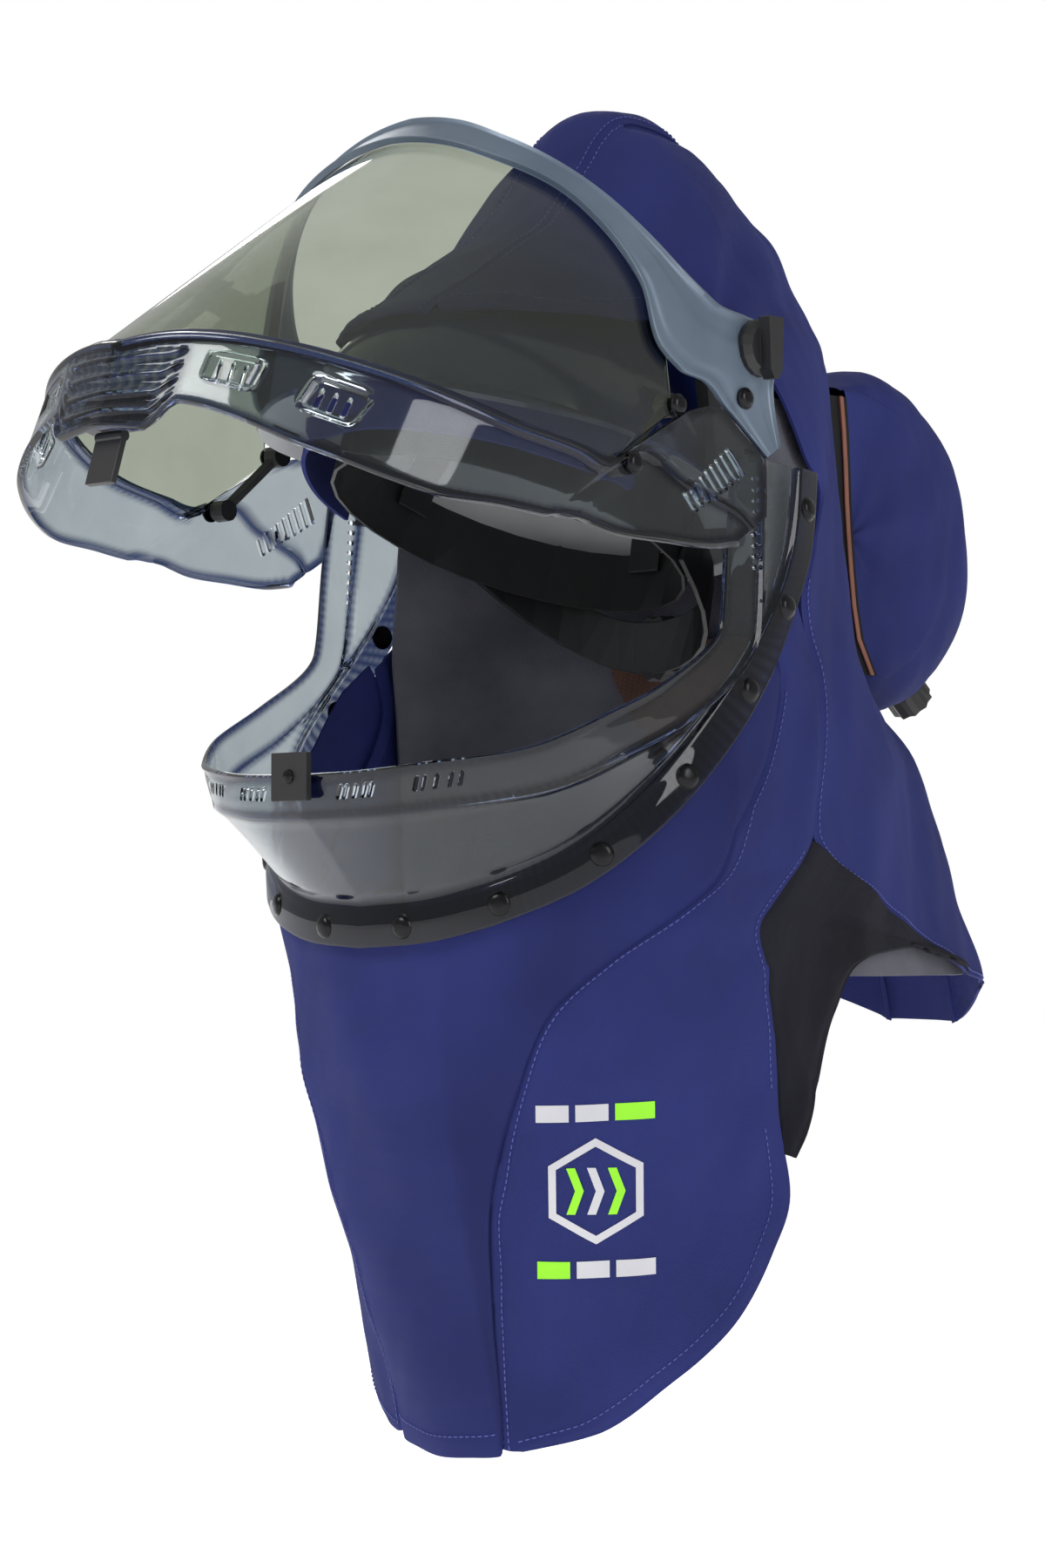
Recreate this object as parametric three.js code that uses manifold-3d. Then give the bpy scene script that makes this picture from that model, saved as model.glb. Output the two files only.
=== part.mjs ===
// Arc flash hood: a lift-front face guard on a hat shell, with a lined cloth hood and a rear pouch.
// Millimetres, +Z up, -Y the way the wearer faces, +X the wearer's left, origin at the headband's centre.
import * as THREE from 'three';
import { mergeVertices } from 'three/addons/utils/BufferGeometryUtils.js';
import Module from 'manifold-3d';

const wasm = await Module();
wasm.setup();

const degree = Math.PI / 180;

// Walls and clearances
const fitGap = 0.4;
const seamGap = 0.35;
const stripGap = 0.65;
const clothWall = 2.4;
const liningWall = 1.6;
const liningGap = 5.5;
const shellWall = 2.4;
const lensWall = 2;
const bracketWall = 3;

// Driving sizes of the cloth hood
const hoodTall = 664;
const bibDrop = 460;
const hoodHalf = 138;
const hoodDeep = 200;
const stripHalf = 25;

// Driving sizes of the chin guard
const shroudHalf = 138;
const shroudReach = 144;
const shroudDrop = 203;
const shroudBulge = 7;
const shroudBand = 22;
const flangeUp = 11;
const flangeDown = 8;
const seatReach = 15;
const rivetRadius = 5.5;
const rivetRise = 2.4;
const smallRivet = 4.5;
const smallRise = 2;
const rivetsPerSide = 7;
const strikeThick = 3;

// Driving sizes of the visor
const pivotBack = 15.2;
const pivotHigh = 64;
const visorTilt = 57;
const visorTopHalf = 140;
const visorTopReach = 142;
const visorEndHalf = 147;
const visorEndReach = 134;
const visorLong = 228;
const visorShift = 5;
const sideRun = 1.6;
const sideFlare = 0.32;
const sideFlat = 9;
const chinTaper = 0.85;
const slotCount = 9;
const slotWide = 2.2;
const slotDeep = 12;
const slotShort = 10;
const slotLong = 15;
const slotPitch = 4.7;
const slotBack = 35;
const slotDown = 66;
const latchWide = 34;
const latchThick = 8;
const latchLong = 16;
const leverWide = 18;
const leverLong = 22;
const leverThick = 3;
const barrelRadius = 2.6;
const clipRadius = 5.5;
const clipRise = 8.5;
const knobRadius = 13.5;
const seatRise = 6;
const gripRise = 7;
const gripHalf = 5;
const pinRadius = 9;
const armThick = 7;
const armWide = 20;
const armLong = 66;
const armLean = -9;
const footBack = 10;
const footTall = 10;
const footLean = 2.6;

// Driving sizes of the hat and its suspension
const hatHalf = 104;
const hatFront = 120;
const hatBack = 116;
const hatHigh = 110;
const hatTilt = 18.4;
const hatCentreY = 8;
const hatCentreZ = 14;
const hatLip = 5;
const peakReach = 20;
const browTuck = 3;
const browHang = 24;
const bandHalf = 78;
const bandLong = 98;
const bandTall = 30;
const hangerWide = 12;
const hangerTall = 5;
const strapWide = 20;
const strapWall = 1.6;
const napeBack = 95;
const napeDrop = 63;
const ratchetRadius = 17;

// Driving sizes of the rear pouch
const pouchHalf = 60;
const pouchFaceBack = 77;
const pouchFaceHigh = 72;
const pouchPlane = 179;
const pouchMiddle = -5;
const rimTop = 8;
const rimBack = 54;
const rimBottom = 3;
const stripWall = 2;
const capRadius = 12;
const capRise = 12;
const capTurn = -38;

// Half width, middle, front and back of the hood by height, the lengths as shares of the named sizes
const hoodRows = [
  { at: 0, half: 0.928, middle: 0.775, front: -0.248, back: 1.78, round: 2 },
  { at: 0.098, half: 0.942, middle: 0.635, front: -0.33, back: 1.72, round: 2 },
  { at: 0.253, half: 0.964, middle: 0.375, front: -0.455, back: 1.64, round: 2 },
  { at: 0.301, half: 0.971, middle: 0.26, front: -0.482, back: 1.61, round: 2 },
  { at: 0.351, half: 0.975, middle: 0.14, front: -0.478, back: 1.57, round: 2 },
  { at: 0.398, half: 0.978, middle: 0.03, front: -0.493, back: 1.48, round: 2 },
  { at: 0.453, half: 0.985, middle: 0.03, front: -0.495, back: 1.39, round: 2 },
  { at: 0.511, half: 0.982, middle: 0.04, front: -0.495, back: 1.265, round: 2 },
  { at: 0.542, half: 0.98, middle: 0.045, front: -0.498, back: 1.15, round: 2 },
  { at: 0.566, half: 0.978, middle: 0.05, front: -0.5, back: 1.055, round: 2 },
  { at: 0.602, half: 0.971, middle: 0.06, front: -0.51, back: 0.955, round: 2 },
  { at: 0.648, half: 0.964, middle: 0.07, front: -0.52, back: 0.92, round: 2 },
  { at: 0.723, half: 0.928, middle: 0.1, front: -0.53, back: 0.9, round: 2 },
  { at: 0.783, half: 0.85, middle: 0.14, front: -0.517, back: 0.9, round: 2 },
  { at: 0.819, half: 0.765, middle: 0.18, front: -0.435, back: 0.91, round: 1.9 },
  { at: 0.839, half: 0.7, middle: 0.2, front: -0.34, back: 0.905, round: 1.85 },
  { at: 0.896, half: 0.58, middle: 0.24, front: -0.044, back: 0.81, round: 1.85 },
  { at: 0.941, half: 0.41, middle: 0.27, front: 0.085, back: 0.687, round: 1.9 },
  { at: 0.979, half: 0.21, middle: 0.29, front: 0.167, back: 0.5, round: 2 },
  { at: 0.994, half: 0.11, middle: 0.3, front: 0.235, back: 0.41, round: 2 },
  { at: 1, half: 0.01, middle: 0.3, front: 0.295, back: 0.305, round: 2 },
];

// Reads one column of a table at a place between its rows, smoothly and without overshoot
function read(rows, column, at) {
  const last = rows.length - 1;
  if (at <= rows[0].at) return rows[0][column];
  if (at >= rows[last].at) return rows[last][column];
  let i = 0;
  while (rows[i + 1].at < at) i += 1;
  const rise = k => (rows[k + 1][column] - rows[k][column]) / (rows[k + 1].at - rows[k].at);
  const slope = k => {
    if (k === 0) return rise(0);
    if (k === last) return rise(last - 1);
    const before = rise(k - 1);
    const after = rise(k);
    return before * after <= 0 ? 0 : (2 * before * after) / (before + after);
  };
  const width = rows[i + 1].at - rows[i].at;
  const t = (at - rows[i].at) / width;
  const s = 1 - t;
  return rows[i][column] * (1 + 2 * t) * s * s + slope(i) * width * t * s * s
    + rows[i + 1][column] * t * t * (3 - 2 * t) - slope(i + 1) * width * t * t * s;
}

const mix = (a, b, t) => a + (b - a) * t;

// Section of the hood at a height. The headband's level keeps its place in the table.
const crownRise = hoodTall - bibDrop;
const crownFoot = 0.69277;
function section(z) {
  const at = z < 0 ? crownFoot * (1 + z / bibDrop) : crownFoot + (1 - crownFoot) * z / crownRise;
  return {
    half: read(hoodRows, 'half', at) * hoodHalf,
    middle: read(hoodRows, 'middle', at) * hoodDeep,
    front: read(hoodRows, 'front', at) * hoodDeep,
    back: read(hoodRows, 'back', at) * hoodDeep,
    round: read(hoodRows, 'round', at),
  };
}

// How far a point lies outside the hood's face: under zero inside, over zero outside
function outside(p) {
  const s = section(p.z);
  const reach = p.y < s.middle ? s.middle - s.front : s.back - s.middle;
  return (Math.abs(p.x) / s.half) ** s.round + (Math.abs(p.y - s.middle) / reach) ** s.round - 1;
}

function hoodNormal(p) {
  const step = 0.5;
  const along = (x, y, z) => outside(new THREE.Vector3(p.x + x, p.y + y, p.z + z))
    - outside(new THREE.Vector3(p.x - x, p.y - y, p.z - z));
  return new THREE.Vector3(along(step, 0, 0), along(0, step, 0), along(0, 0, step)).normalize();
}

// Point of the hood's outer face by angle from the front and height
function hoodPoint(angle, z) {
  const s = section(z);
  const side = Math.sin(angle * degree);
  const ahead = Math.cos(angle * degree);
  const power = 2 / s.round;
  const reach = ahead > 0 ? s.middle - s.front : s.back - s.middle;
  return new THREE.Vector3(
    s.half * Math.sign(side) * Math.abs(side) ** power,
    s.middle - reach * Math.sign(ahead) * Math.abs(ahead) ** power,
    z,
  );
}

// Soft folds of the cloth, as a height over the plain face: crown folds from the knobs and bib waves
function fold(p) {
  const crown = THREE.MathUtils.smoothstep(p.z, 60, 120) * (1 - THREE.MathUtils.smoothstep(p.z, 175, 198));
  const turn = Math.atan2(p.z - pivotHigh, p.y - pivotBack) / degree;
  const sideways = THREE.MathUtils.smoothstep(Math.abs(p.x), stripHalf, 2 * stripHalf);
  const skirt = 1 - THREE.MathUtils.smoothstep(p.z, -430, -300);
  const bib = Math.sin(Math.atan2(p.x, hoodDeep / 2 - p.y) * 7 + 0.6);
  return 2.4 * crown * sideways * Math.sin(turn / 9) + 2.6 * skirt * bib;
}

// Builds one closed solid from a grid of outer points and the inner points behind them
function closedGrid(outer, inner, ring = false) {
  const rows = outer.length;
  const columns = outer[0].length;
  const points = [...outer.flat(), ...inner.flat()];
  const at = (face, r, c) => face * rows * columns + (r % rows) * columns + c;
  const faces = [];
  const quad = (a, b, c, d) => faces.push([a, b, c], [a, c, d]);
  const spans = ring ? rows : rows - 1;
  for (let r = 0; r < spans; r += 1) {
    for (let c = 0; c < columns - 1; c += 1) {
      quad(at(0, r, c), at(0, r + 1, c), at(0, r + 1, c + 1), at(0, r, c + 1));
      quad(at(1, r, c), at(1, r, c + 1), at(1, r + 1, c + 1), at(1, r + 1, c));
    }
    quad(at(0, r, 0), at(1, r, 0), at(1, r + 1, 0), at(0, r + 1, 0));
    const end = columns - 1;
    quad(at(0, r, end), at(0, r + 1, end), at(1, r + 1, end), at(1, r, end));
  }
  if (!ring) {
    for (let c = 0; c < columns - 1; c += 1) {
      quad(at(0, 0, c), at(0, 0, c + 1), at(1, 0, c + 1), at(1, 0, c));
      const end = rows - 1;
      quad(at(0, end, c), at(1, end, c), at(1, end, c + 1), at(0, end, c + 1));
    }
  }
  return solidOf(points, faces);
}

// Merges equal corners, drops faces without area and turns the solid's faces outward
function solidOf(points, faces) {
  const loose = new THREE.BufferGeometry();
  loose.setAttribute('position', new THREE.Float32BufferAttribute(points.flatMap(p => [p.x, p.y, p.z]), 3));
  loose.setIndex(faces.flat());
  const merged = mergeVertices(loose, 1e-3);
  const index = Array.from(merged.index.array);
  const kept = [];
  for (let i = 0; i < index.length; i += 3) {
    const [a, b, c] = index.slice(i, i + 3);
    if (a !== b && b !== c && c !== a) kept.push([a, b, c]);
  }
  const place = merged.attributes.position;
  const corner = i => new THREE.Vector3().fromBufferAttribute(place, i);
  const volume = kept.reduce((sum, [a, b, c]) => sum + corner(a).dot(corner(b).cross(corner(c))), 0);
  merged.setIndex((volume < 0 ? kept.map(([a, b, c]) => [a, c, b]) : kept).flat());
  return merged;
}

// A wall behind a grid of face points, with normals worked out from the grid's own neighbours
function walled(face, wall, towards, ring = false) {
  const rows = face.length;
  const columns = face[0].length;
  const pick = r => (ring ? (r + rows) % rows : THREE.MathUtils.clamp(r, 0, rows - 1));
  const inner = face.map((row, r) => row.map((p, c) => {
    const along = face[pick(r + 1)][c].clone().sub(face[pick(r - 1)][c]);
    const across = row[Math.min(c + 1, columns - 1)].clone().sub(row[Math.max(c - 1, 0)]);
    const normal = along.cross(across).normalize();
    if (normal.dot(towards(p)) < 0) normal.negate();
    return p.clone().addScaledVector(normal, wall);
  }));
  return closedGrid(face, inner, ring);
}

// Spaced values from one end to the other
function steps(count, from = 0, to = 1) {
  return Array.from({ length: count + 1 }, (_, i) => mix(from, to, i / count));
}

// A cloth panel between two edges given by angle and height, row by row
function panel(rows, options) {
  const { perRow, across, lift = 0, wall = clothWall, mirror = 1, bothEdges = true } = options;
  const places = steps((rows.length - 1) * perRow);
  const edges = places.map(t => {
    const spot = t * (rows.length - 1);
    const k = Math.min(Math.floor(spot), rows.length - 2);
    const value = name => mix(rows[k][name], rows[k + 1][name], spot - k);
    return { a: [value('fromAngle'), value('fromZ')], b: [value('toAngle'), value('toZ')] };
  });
  const grid = edges.map((edge, r) => {
    const start = hoodPoint(...edge.a);
    const end = hoodPoint(...edge.b);
    const length = start.distanceTo(end);
    const inset = bothEdges ? Math.min(0.45, seamGap / length) : 0;
    const trim = Math.min(r, edges.length - 1 - r) === 0 ? seamGap : 0;
    return steps(across).map(t => {
      const u = mix(inset, 1 - inset, t);
      const angle = mix(edge.a[0], edge.b[0], u);
      const z = mix(edge.a[1], edge.b[1], u);
      const neighbour = edges[r === 0 ? 1 : r - 1];
      const back = hoodPoint(mix(neighbour.a[0], neighbour.b[0], u), mix(neighbour.a[1], neighbour.b[1], u));
      const p = hoodPoint(angle, z);
      p.lerp(back, trim / Math.max(2 * trim, p.distanceTo(back), 1));
      return p;
    });
  });
  const layer = depth => grid.map(row => row.map(p => {
    const out = hoodNormal(p);
    const raised = p.clone().addScaledVector(out, lift + fold(p) - depth);
    raised.x *= mirror;
    return raised;
  }));
  return closedGrid(layer(0), layer(wall));
}

// Angle at which the middle strip's edge meets a height, on the front or the back
function stripAngle(z, back) {
  const s = section(z);
  const angle = Math.asin(Math.min(1, (stripHalf / s.half) ** (s.round / 2))) / degree;
  return back ? 180 - angle : angle;
}

// Lower front edge of the cloth and its seams; heights as shares of the bib's drop
const centreRows = [
  { fromAngle: 0, fromZ: -0.424, toAngle: 0, toZ: -0.977 },
  { fromAngle: 8, fromZ: -0.422, toAngle: 9, toZ: -0.974 },
  { fromAngle: 16, fromZ: -0.418, toAngle: 16, toZ: -0.97 },
  { fromAngle: 24, fromZ: -0.411, toAngle: 19, toZ: -0.839 },
  { fromAngle: 32, fromZ: -0.401, toAngle: 22, toZ: -0.733 },
  { fromAngle: 40, fromZ: -0.388, toAngle: 28, toZ: -0.643 },
  { fromAngle: 47, fromZ: -0.373, toAngle: 32, toZ: -0.6 },
  { fromAngle: 56, fromZ: -0.347, toAngle: 39, toZ: -0.53 },
  { fromAngle: 64, fromZ: -0.316, toAngle: 52, toZ: -0.478 },
  { fromAngle: 71, fromZ: -0.284, toAngle: 72, toZ: -0.428 },
  { fromAngle: 79, fromZ: -0.243, toAngle: 85, toZ: -0.385 },
  { fromAngle: 86, fromZ: -0.202, toAngle: 90, toZ: -0.341 },
  { fromAngle: 91, fromZ: -0.174, toAngle: 95, toZ: -0.27 },
  { fromAngle: 95, fromZ: -0.15, toAngle: 99, toZ: -0.19 },
];
const bibRows = [
  { fromAngle: 16.5, fromZ: -0.965, toAngle: 20, toZ: -0.967 },
  { fromAngle: 17.5, fromZ: -0.902, toAngle: 34, toZ: -0.952 },
  { fromAngle: 19, fromZ: -0.839, toAngle: 50, toZ: -0.89 },
  { fromAngle: 20.5, fromZ: -0.786, toAngle: 62, toZ: -0.828 },
  { fromAngle: 22, fromZ: -0.733, toAngle: 70, toZ: -0.77 },
  { fromAngle: 25, fromZ: -0.688, toAngle: 76, toZ: -0.712 },
  { fromAngle: 28, fromZ: -0.643, toAngle: 79, toZ: -0.63 },
  { fromAngle: 32, fromZ: -0.6, toAngle: 87, toZ: -0.535 },
  { fromAngle: 39, fromZ: -0.53, toAngle: 91, toZ: -0.483 },
  { fromAngle: 52, fromZ: -0.478, toAngle: 93, toZ: -0.441 },
  { fromAngle: 72, fromZ: -0.428, toAngle: 97, toZ: -0.4 },
  { fromAngle: 85, fromZ: -0.385, toAngle: 100, toZ: -0.374 },
  { fromAngle: 90, fromZ: -0.341, toAngle: 102.7, toZ: -0.343 },
  { fromAngle: 95, fromZ: -0.27, toAngle: 105.2, toZ: -0.261 },
  { fromAngle: 99, fromZ: -0.19, toAngle: 108.7, toZ: -0.17 },
  { fromAngle: 97.5, fromZ: -0.143, toAngle: 104, toZ: -0.103 },
];
const gussetRows = [
  { fromAngle: 102.5, fromZ: -0.352, toAngle: 103.6, toZ: -0.354 },
  { fromAngle: 100, fromZ: -0.378, toAngle: 119.2, toZ: -0.43 },
  { fromAngle: 97, fromZ: -0.404, toAngle: 136.7, toZ: -0.491 },
  { fromAngle: 93, fromZ: -0.441, toAngle: 122, toZ: -0.461 },
  { fromAngle: 91, fromZ: -0.483, toAngle: 107, toZ: -0.474 },
  { fromAngle: 87, fromZ: -0.535, toAngle: 98, toZ: -0.528 },
  { fromAngle: 82.5, fromZ: -0.593, toAngle: 90, toZ: -0.598 },
  { fromAngle: 77.5, fromZ: -0.67, toAngle: 79.5, toZ: -0.674 },
];

// Side panels run from the strip's edge to the brow, pivot, flange, seam, gusset and hem.
// Heights are shares of the crown's rise, or of the bib's drop below the headband.
const sideRows = [
  { strip: 0.43, back: false, toAngle: 17, toZ: 0.412 },
  { strip: 0.56, back: false, toAngle: 35, toZ: 0.407 },
  { strip: 0.735, back: false, toAngle: 60, toZ: 0.402 },
  { strip: 0.873, back: false, toAngle: 80, toZ: 0.397 },
  { strip: 0.931, back: false, toAngle: 95, toZ: 0.382 },
  { strip: 0.882, back: true, toAngle: 103, toZ: 0.245 },
  { strip: 0.784, back: true, toAngle: 110, toZ: 0.108 },
  { strip: 0.637, back: true, toAngle: 117, toZ: 0.02 },
  { strip: 0.441, back: true, toAngle: 111.5, toZ: -0.0457 },
  { strip: 0.245, back: true, toAngle: 106.5, toZ: -0.1042 },
  { strip: 0, back: true, toAngle: 109, toZ: -0.1707 },
  { strip: -0.1087, back: true, toAngle: 105.5, toZ: -0.2612 },
  { strip: -0.2067, back: true, toAngle: 103, toZ: -0.3437 },
  { strip: -0.326, back: true, toAngle: 119.5, toZ: -0.4306 },
  { strip: -0.4346, back: true, toAngle: 137, toZ: -0.4923 },
  { strip: -0.55, back: true, toAngle: 151, toZ: -0.507 },
];

function scaledRows(rows) {
  return rows.map(row => ({ ...row, fromZ: row.fromZ * bibDrop, toZ: row.toZ * bibDrop }));
}

function heightAt(share) {
  return share * (share < 0 ? bibDrop : crownRise);
}

function sidePanelRows() {
  return sideRows.map(row => {
    const z = heightAt(row.strip);
    return { fromAngle: stripAngle(z, row.back), fromZ: z, toAngle: row.toAngle, toZ: heightAt(row.toZ) };
  });
}

// Point where a line from inside the hood leaves its face
function leaves(start, direction) {
  let near = 0;
  let far = 2 * hoodDeep;
  for (let i = 0; i < 40; i += 1) {
    const middle = (near + far) / 2;
    if (outside(start.clone().addScaledVector(direction, middle)) < 0) near = middle;
    else far = middle;
  }
  return start.clone().addScaledVector(direction, near);
}

// The middle strip: fanned over the crown about a point in the head, then straight down the back
function crownStrip() {
  const fanY = 45;
  const fanZ = 50;
  const half = stripHalf - stripGap;
  const browTurn = 14;
  const hem = sideRows.at(-1).strip * bibDrop;
  const stations = [
    ...steps(18, browTurn, 180).map(turn => ({ z: fanZ, turn })),
    ...steps(12, fanZ, hem).slice(1).map(z => ({ z, turn: 180 })),
  ];
  const grid = stations.map(({ z, turn }) => steps(4, -half, half).map(x => leaves(
    new THREE.Vector3(x, fanY, z),
    new THREE.Vector3(0, -Math.cos(turn * degree), Math.sin(turn * degree)),
  )));
  const layer = depth => grid.map(row => row.map(p => p.clone().addScaledVector(hoodNormal(p), -depth)));
  return closedGrid(layer(0), layer(clothWall));
}

// The lining stands inside the cloth round the back and sides
function lining() {
  const halfSpan = 82;
  const top = 0.25 * crownRise;
  const bottom = -0.49 * bibDrop;
  const depth = clothWall + liningGap;
  const face = steps(24, 180 - halfSpan, 180 + halfSpan).map(angle => steps(8, top, bottom).map(z => {
    const p = hoodPoint(angle, z);
    return p.addScaledVector(hoodNormal(p), fold(p) - depth);
  }));
  return walled(face, liningWall, p => new THREE.Vector3(-p.x, 40 - p.y, 0));
}

function meshPanel() {
  const depth = clothWall + liningGap + liningWall + 1.2;
  const face = steps(10, 142, 218).map(angle => steps(2, -50, -92).map(z => {
    const p = hoodPoint(angle, z);
    return p.addScaledVector(hoodNormal(p), -depth);
  }));
  return walled(face, liningWall, p => new THREE.Vector3(-p.x, 40 - p.y, 0));
}

// Chin guard: rim and flange lines, from the front middle to an upright's top, as shares of its sizes
const shroudRows = [
  { at: 0, rimX: 0, rimY: -1, rimZ: -0.66, edgeX: 0, edgeY: -0.712, edgeZ: -1, bulge: 1 },
  { at: 1, rimX: 0.259, rimY: -0.976, rimZ: -0.655, edgeX: 0.243, edgeY: -0.69, edgeZ: -0.99, bulge: 1 },
  { at: 2, rimX: 0.5, rimY: -0.905, rimZ: -0.64, edgeX: 0.471, edgeY: -0.625, edgeZ: -0.961, bulge: 1 },
  { at: 3, rimX: 0.777, rimY: -0.738, rimZ: -0.611, edgeX: 0.739, edgeY: -0.471, edgeZ: -0.882, bulge: 0.9 },
  { at: 4, rimX: 0.94, rimY: -0.534, rimZ: -0.537, edgeX: 0.908, edgeY: -0.278, edgeZ: -0.747, bulge: 0.75 },
  { at: 5, rimX: 0.99, rimY: -0.292, rimZ: -0.453, edgeX: 0.989, edgeY: -0.073, edgeZ: -0.581, bulge: 0.5 },
  { at: 6, rimX: 0.995, rimY: -0.042, rimZ: -0.315, edgeX: 1.008, edgeY: 0.215, edgeZ: -0.335, bulge: 0.35 },
  { at: 7, rimX: 0.992, rimY: -0.014, rimZ: -0.123, edgeX: 1.012, edgeY: 0.417, edgeZ: -0.113, bulge: 0.35 },
  { at: 8, rimX: 0.986, rimY: 0.014, rimZ: 0.074, edgeX: 1.002, edgeY: 0.5, edgeZ: 0.059, bulge: 0.35 },
];

function shroudRail(side, name, at) {
  const value = column => read(shroudRows, name + column, at);
  return new THREE.Vector3(
    side * value('X') * shroudHalf,
    value('Y') * shroudReach,
    value('Z') * shroudDrop,
  );
}

// Outward push that puts the flange just clear of the cloth below it
const flangeLift = shellWall + fitGap + 1.4;

function flangePoint(side, at, down) {
  const rim = shroudRail(side, 'rim', at);
  const rail = shroudRail(side, 'edge', at);
  const start = new THREE.Vector3(0, section(rail.z).middle, rail.z);
  const seat = p => {
    const centre = new THREE.Vector3(0, section(p.z).middle, p.z);
    const direction = p.clone().sub(centre).setZ(0).normalize();
    const face = leaves(centre, direction);
    return face.addScaledVector(hoodNormal(face), flangeLift);
  };
  start.copy(seat(rail));
  const normal = hoodNormal(start);
  const towardRim = rim.clone().sub(start);
  towardRim.addScaledVector(normal, -towardRim.dot(normal)).normalize();
  return { point: seat(start.clone().addScaledVector(towardRim, -down)), normal, towardRim };
}

function shroudSection(signedAt) {
  const side = Math.sign(signedAt) || 1;
  const at = Math.abs(signedAt);
  const rim = shroudRail(side, 'rim', at);
  const top = flangePoint(side, at, -flangeUp).point;
  const edge = flangePoint(side, at, flangeDown).point;
  const outward = new THREE.Vector3(rim.x, rim.y + shroudReach * 0.3, 0).normalize();
  if (at > 5) outward.set(side, 0, 0);
  const fall = top.clone().sub(rim).normalize();
  const bulge = read(shroudRows, 'bulge', at) * shroudBulge;
  const belt = rim.clone().addScaledVector(fall, shroudBand).addScaledVector(outward, bulge);
  const waist = belt.clone().lerp(top, 0.55).addScaledVector(outward, -1);
  const curve = new THREE.CatmullRomCurve3([rim, belt, waist, top, edge], false, 'centripetal');
  return curve.getPoints(6);
}

function shroud() {
  const ends = shroudRows.length - 1;
  const face = steps(ends * 4, -ends, ends).map(shroudSection);
  return walled(face, shellWall, p => new THREE.Vector3(-p.x, -p.y * 0.2, 40));
}

// Rivets stand along the flange at one pitch, measured along the flange line
function rivetSeats() {
  const samples = steps(160, 0, shroudRows.length - 1).map(at => ({ at, p: shroudRail(1, 'edge', at) }));
  let run = 0;
  const lengths = samples.map(({ p }, i) => {
    run += i ? p.distanceTo(samples[i - 1].p) : 0;
    return run;
  });
  const pitch = run / (rivetsPerSide - 0.1);
  return Array.from({ length: rivetsPerSide }, (_, i) => {
    const goal = (i + 0.5) * pitch;
    return samples[lengths.findIndex(length => length >= goal)].at;
  });
}

// Round part turned about its own Z axis, from a profile of radius and height pairs
function turned(profile, segments = 8) {
  const points = profile.map(([radius, height]) => new THREE.Vector2(radius, height));
  const lathe = new THREE.LatheGeometry(points, segments);
  lathe.rotateX(Math.PI / 2);
  lathe.deleteAttribute('normal');
  lathe.deleteAttribute('uv');
  const places = lathe.attributes.position;
  const corners = [];
  for (let i = 0; i < places.count; i += 1) corners.push(new THREE.Vector3().fromBufferAttribute(places, i));
  const index = Array.from(lathe.index.array);
  const faces = [];
  for (let i = 0; i < index.length; i += 3) faces.push(index.slice(i, i + 3));
  return solidOf(corners, faces);
}

// Stands a flat-based piece on a face: just clear of the highest point under its base
function seatOn(geometries, point, normal, radius) {
  const skin = new THREE.MeshBasicMaterial({ side: THREE.DoubleSide });
  const targets = geometries.map(geometry => new THREE.Mesh(geometry, skin));
  const turn = new THREE.Quaternion().setFromUnitVectors(new THREE.Vector3(0, 0, 1), normal);
  const spots = steps(8, 0, 360).map(angle => new THREE.Vector3(
    radius * Math.cos(angle * degree),
    radius * Math.sin(angle * degree),
    0,
  ));
  const heights = [new THREE.Vector3(), ...spots].map(spot => {
    const start = point.clone().add(spot.applyQuaternion(turn)).addScaledVector(normal, seatReach);
    const down = normal.clone().negate();
    const hits = new THREE.Raycaster(start, down, 0, 2 * seatReach).intersectObjects(targets);
    return hits.length ? seatReach - hits[0].distance : -seatReach;
  });
  return point.clone().addScaledVector(normal, Math.max(...heights) + fitGap);
}

function domed(radius, rise) {
  return turned([[0, 0], [radius, 0], [radius * 0.8, rise * 0.7], [0, rise]]);
}

// A flat outline with thickness, lying in X and Y and rising along Z
function plate(outline, rise) {
  const shape = new THREE.Shape(outline.map(([x, y]) => new THREE.Vector2(x, y)));
  const solid = new THREE.ExtrudeGeometry(shape, { depth: rise, bevelEnabled: false, curveSegments: 6 });
  return welded(solid);
}

function welded(geometry) {
  geometry.deleteAttribute('normal');
  geometry.deleteAttribute('uv');
  return mergeVertices(geometry, 1e-4);
}

function box(x, y, z) {
  return welded(new THREE.BoxGeometry(x, y, z));
}

// Joins and cuts by solid arithmetic
function toManifold(geometry) {
  const solid = geometry.index ? geometry : welded(geometry);
  return new wasm.Manifold(new wasm.Mesh({
    numProp: 3,
    vertProperties: new Float32Array(solid.attributes.position.array),
    triVerts: new Uint32Array(solid.index.array),
  }));
}

function fromManifold(solid) {
  const mesh = solid.getMesh();
  const geometry = new THREE.BufferGeometry();
  geometry.setAttribute('position', new THREE.Float32BufferAttribute(mesh.vertProperties, 3));
  geometry.setIndex(Array.from(mesh.triVerts));
  return geometry;
}

function joined(...geometries) {
  return fromManifold(geometries.map(toManifold).reduce((sum, next) => sum.add(next)));
}

function cut(body, ...tools) {
  return fromManifold(tools.map(toManifold).reduce((rest, tool) => rest.subtract(tool), toManifold(body)));
}

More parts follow.
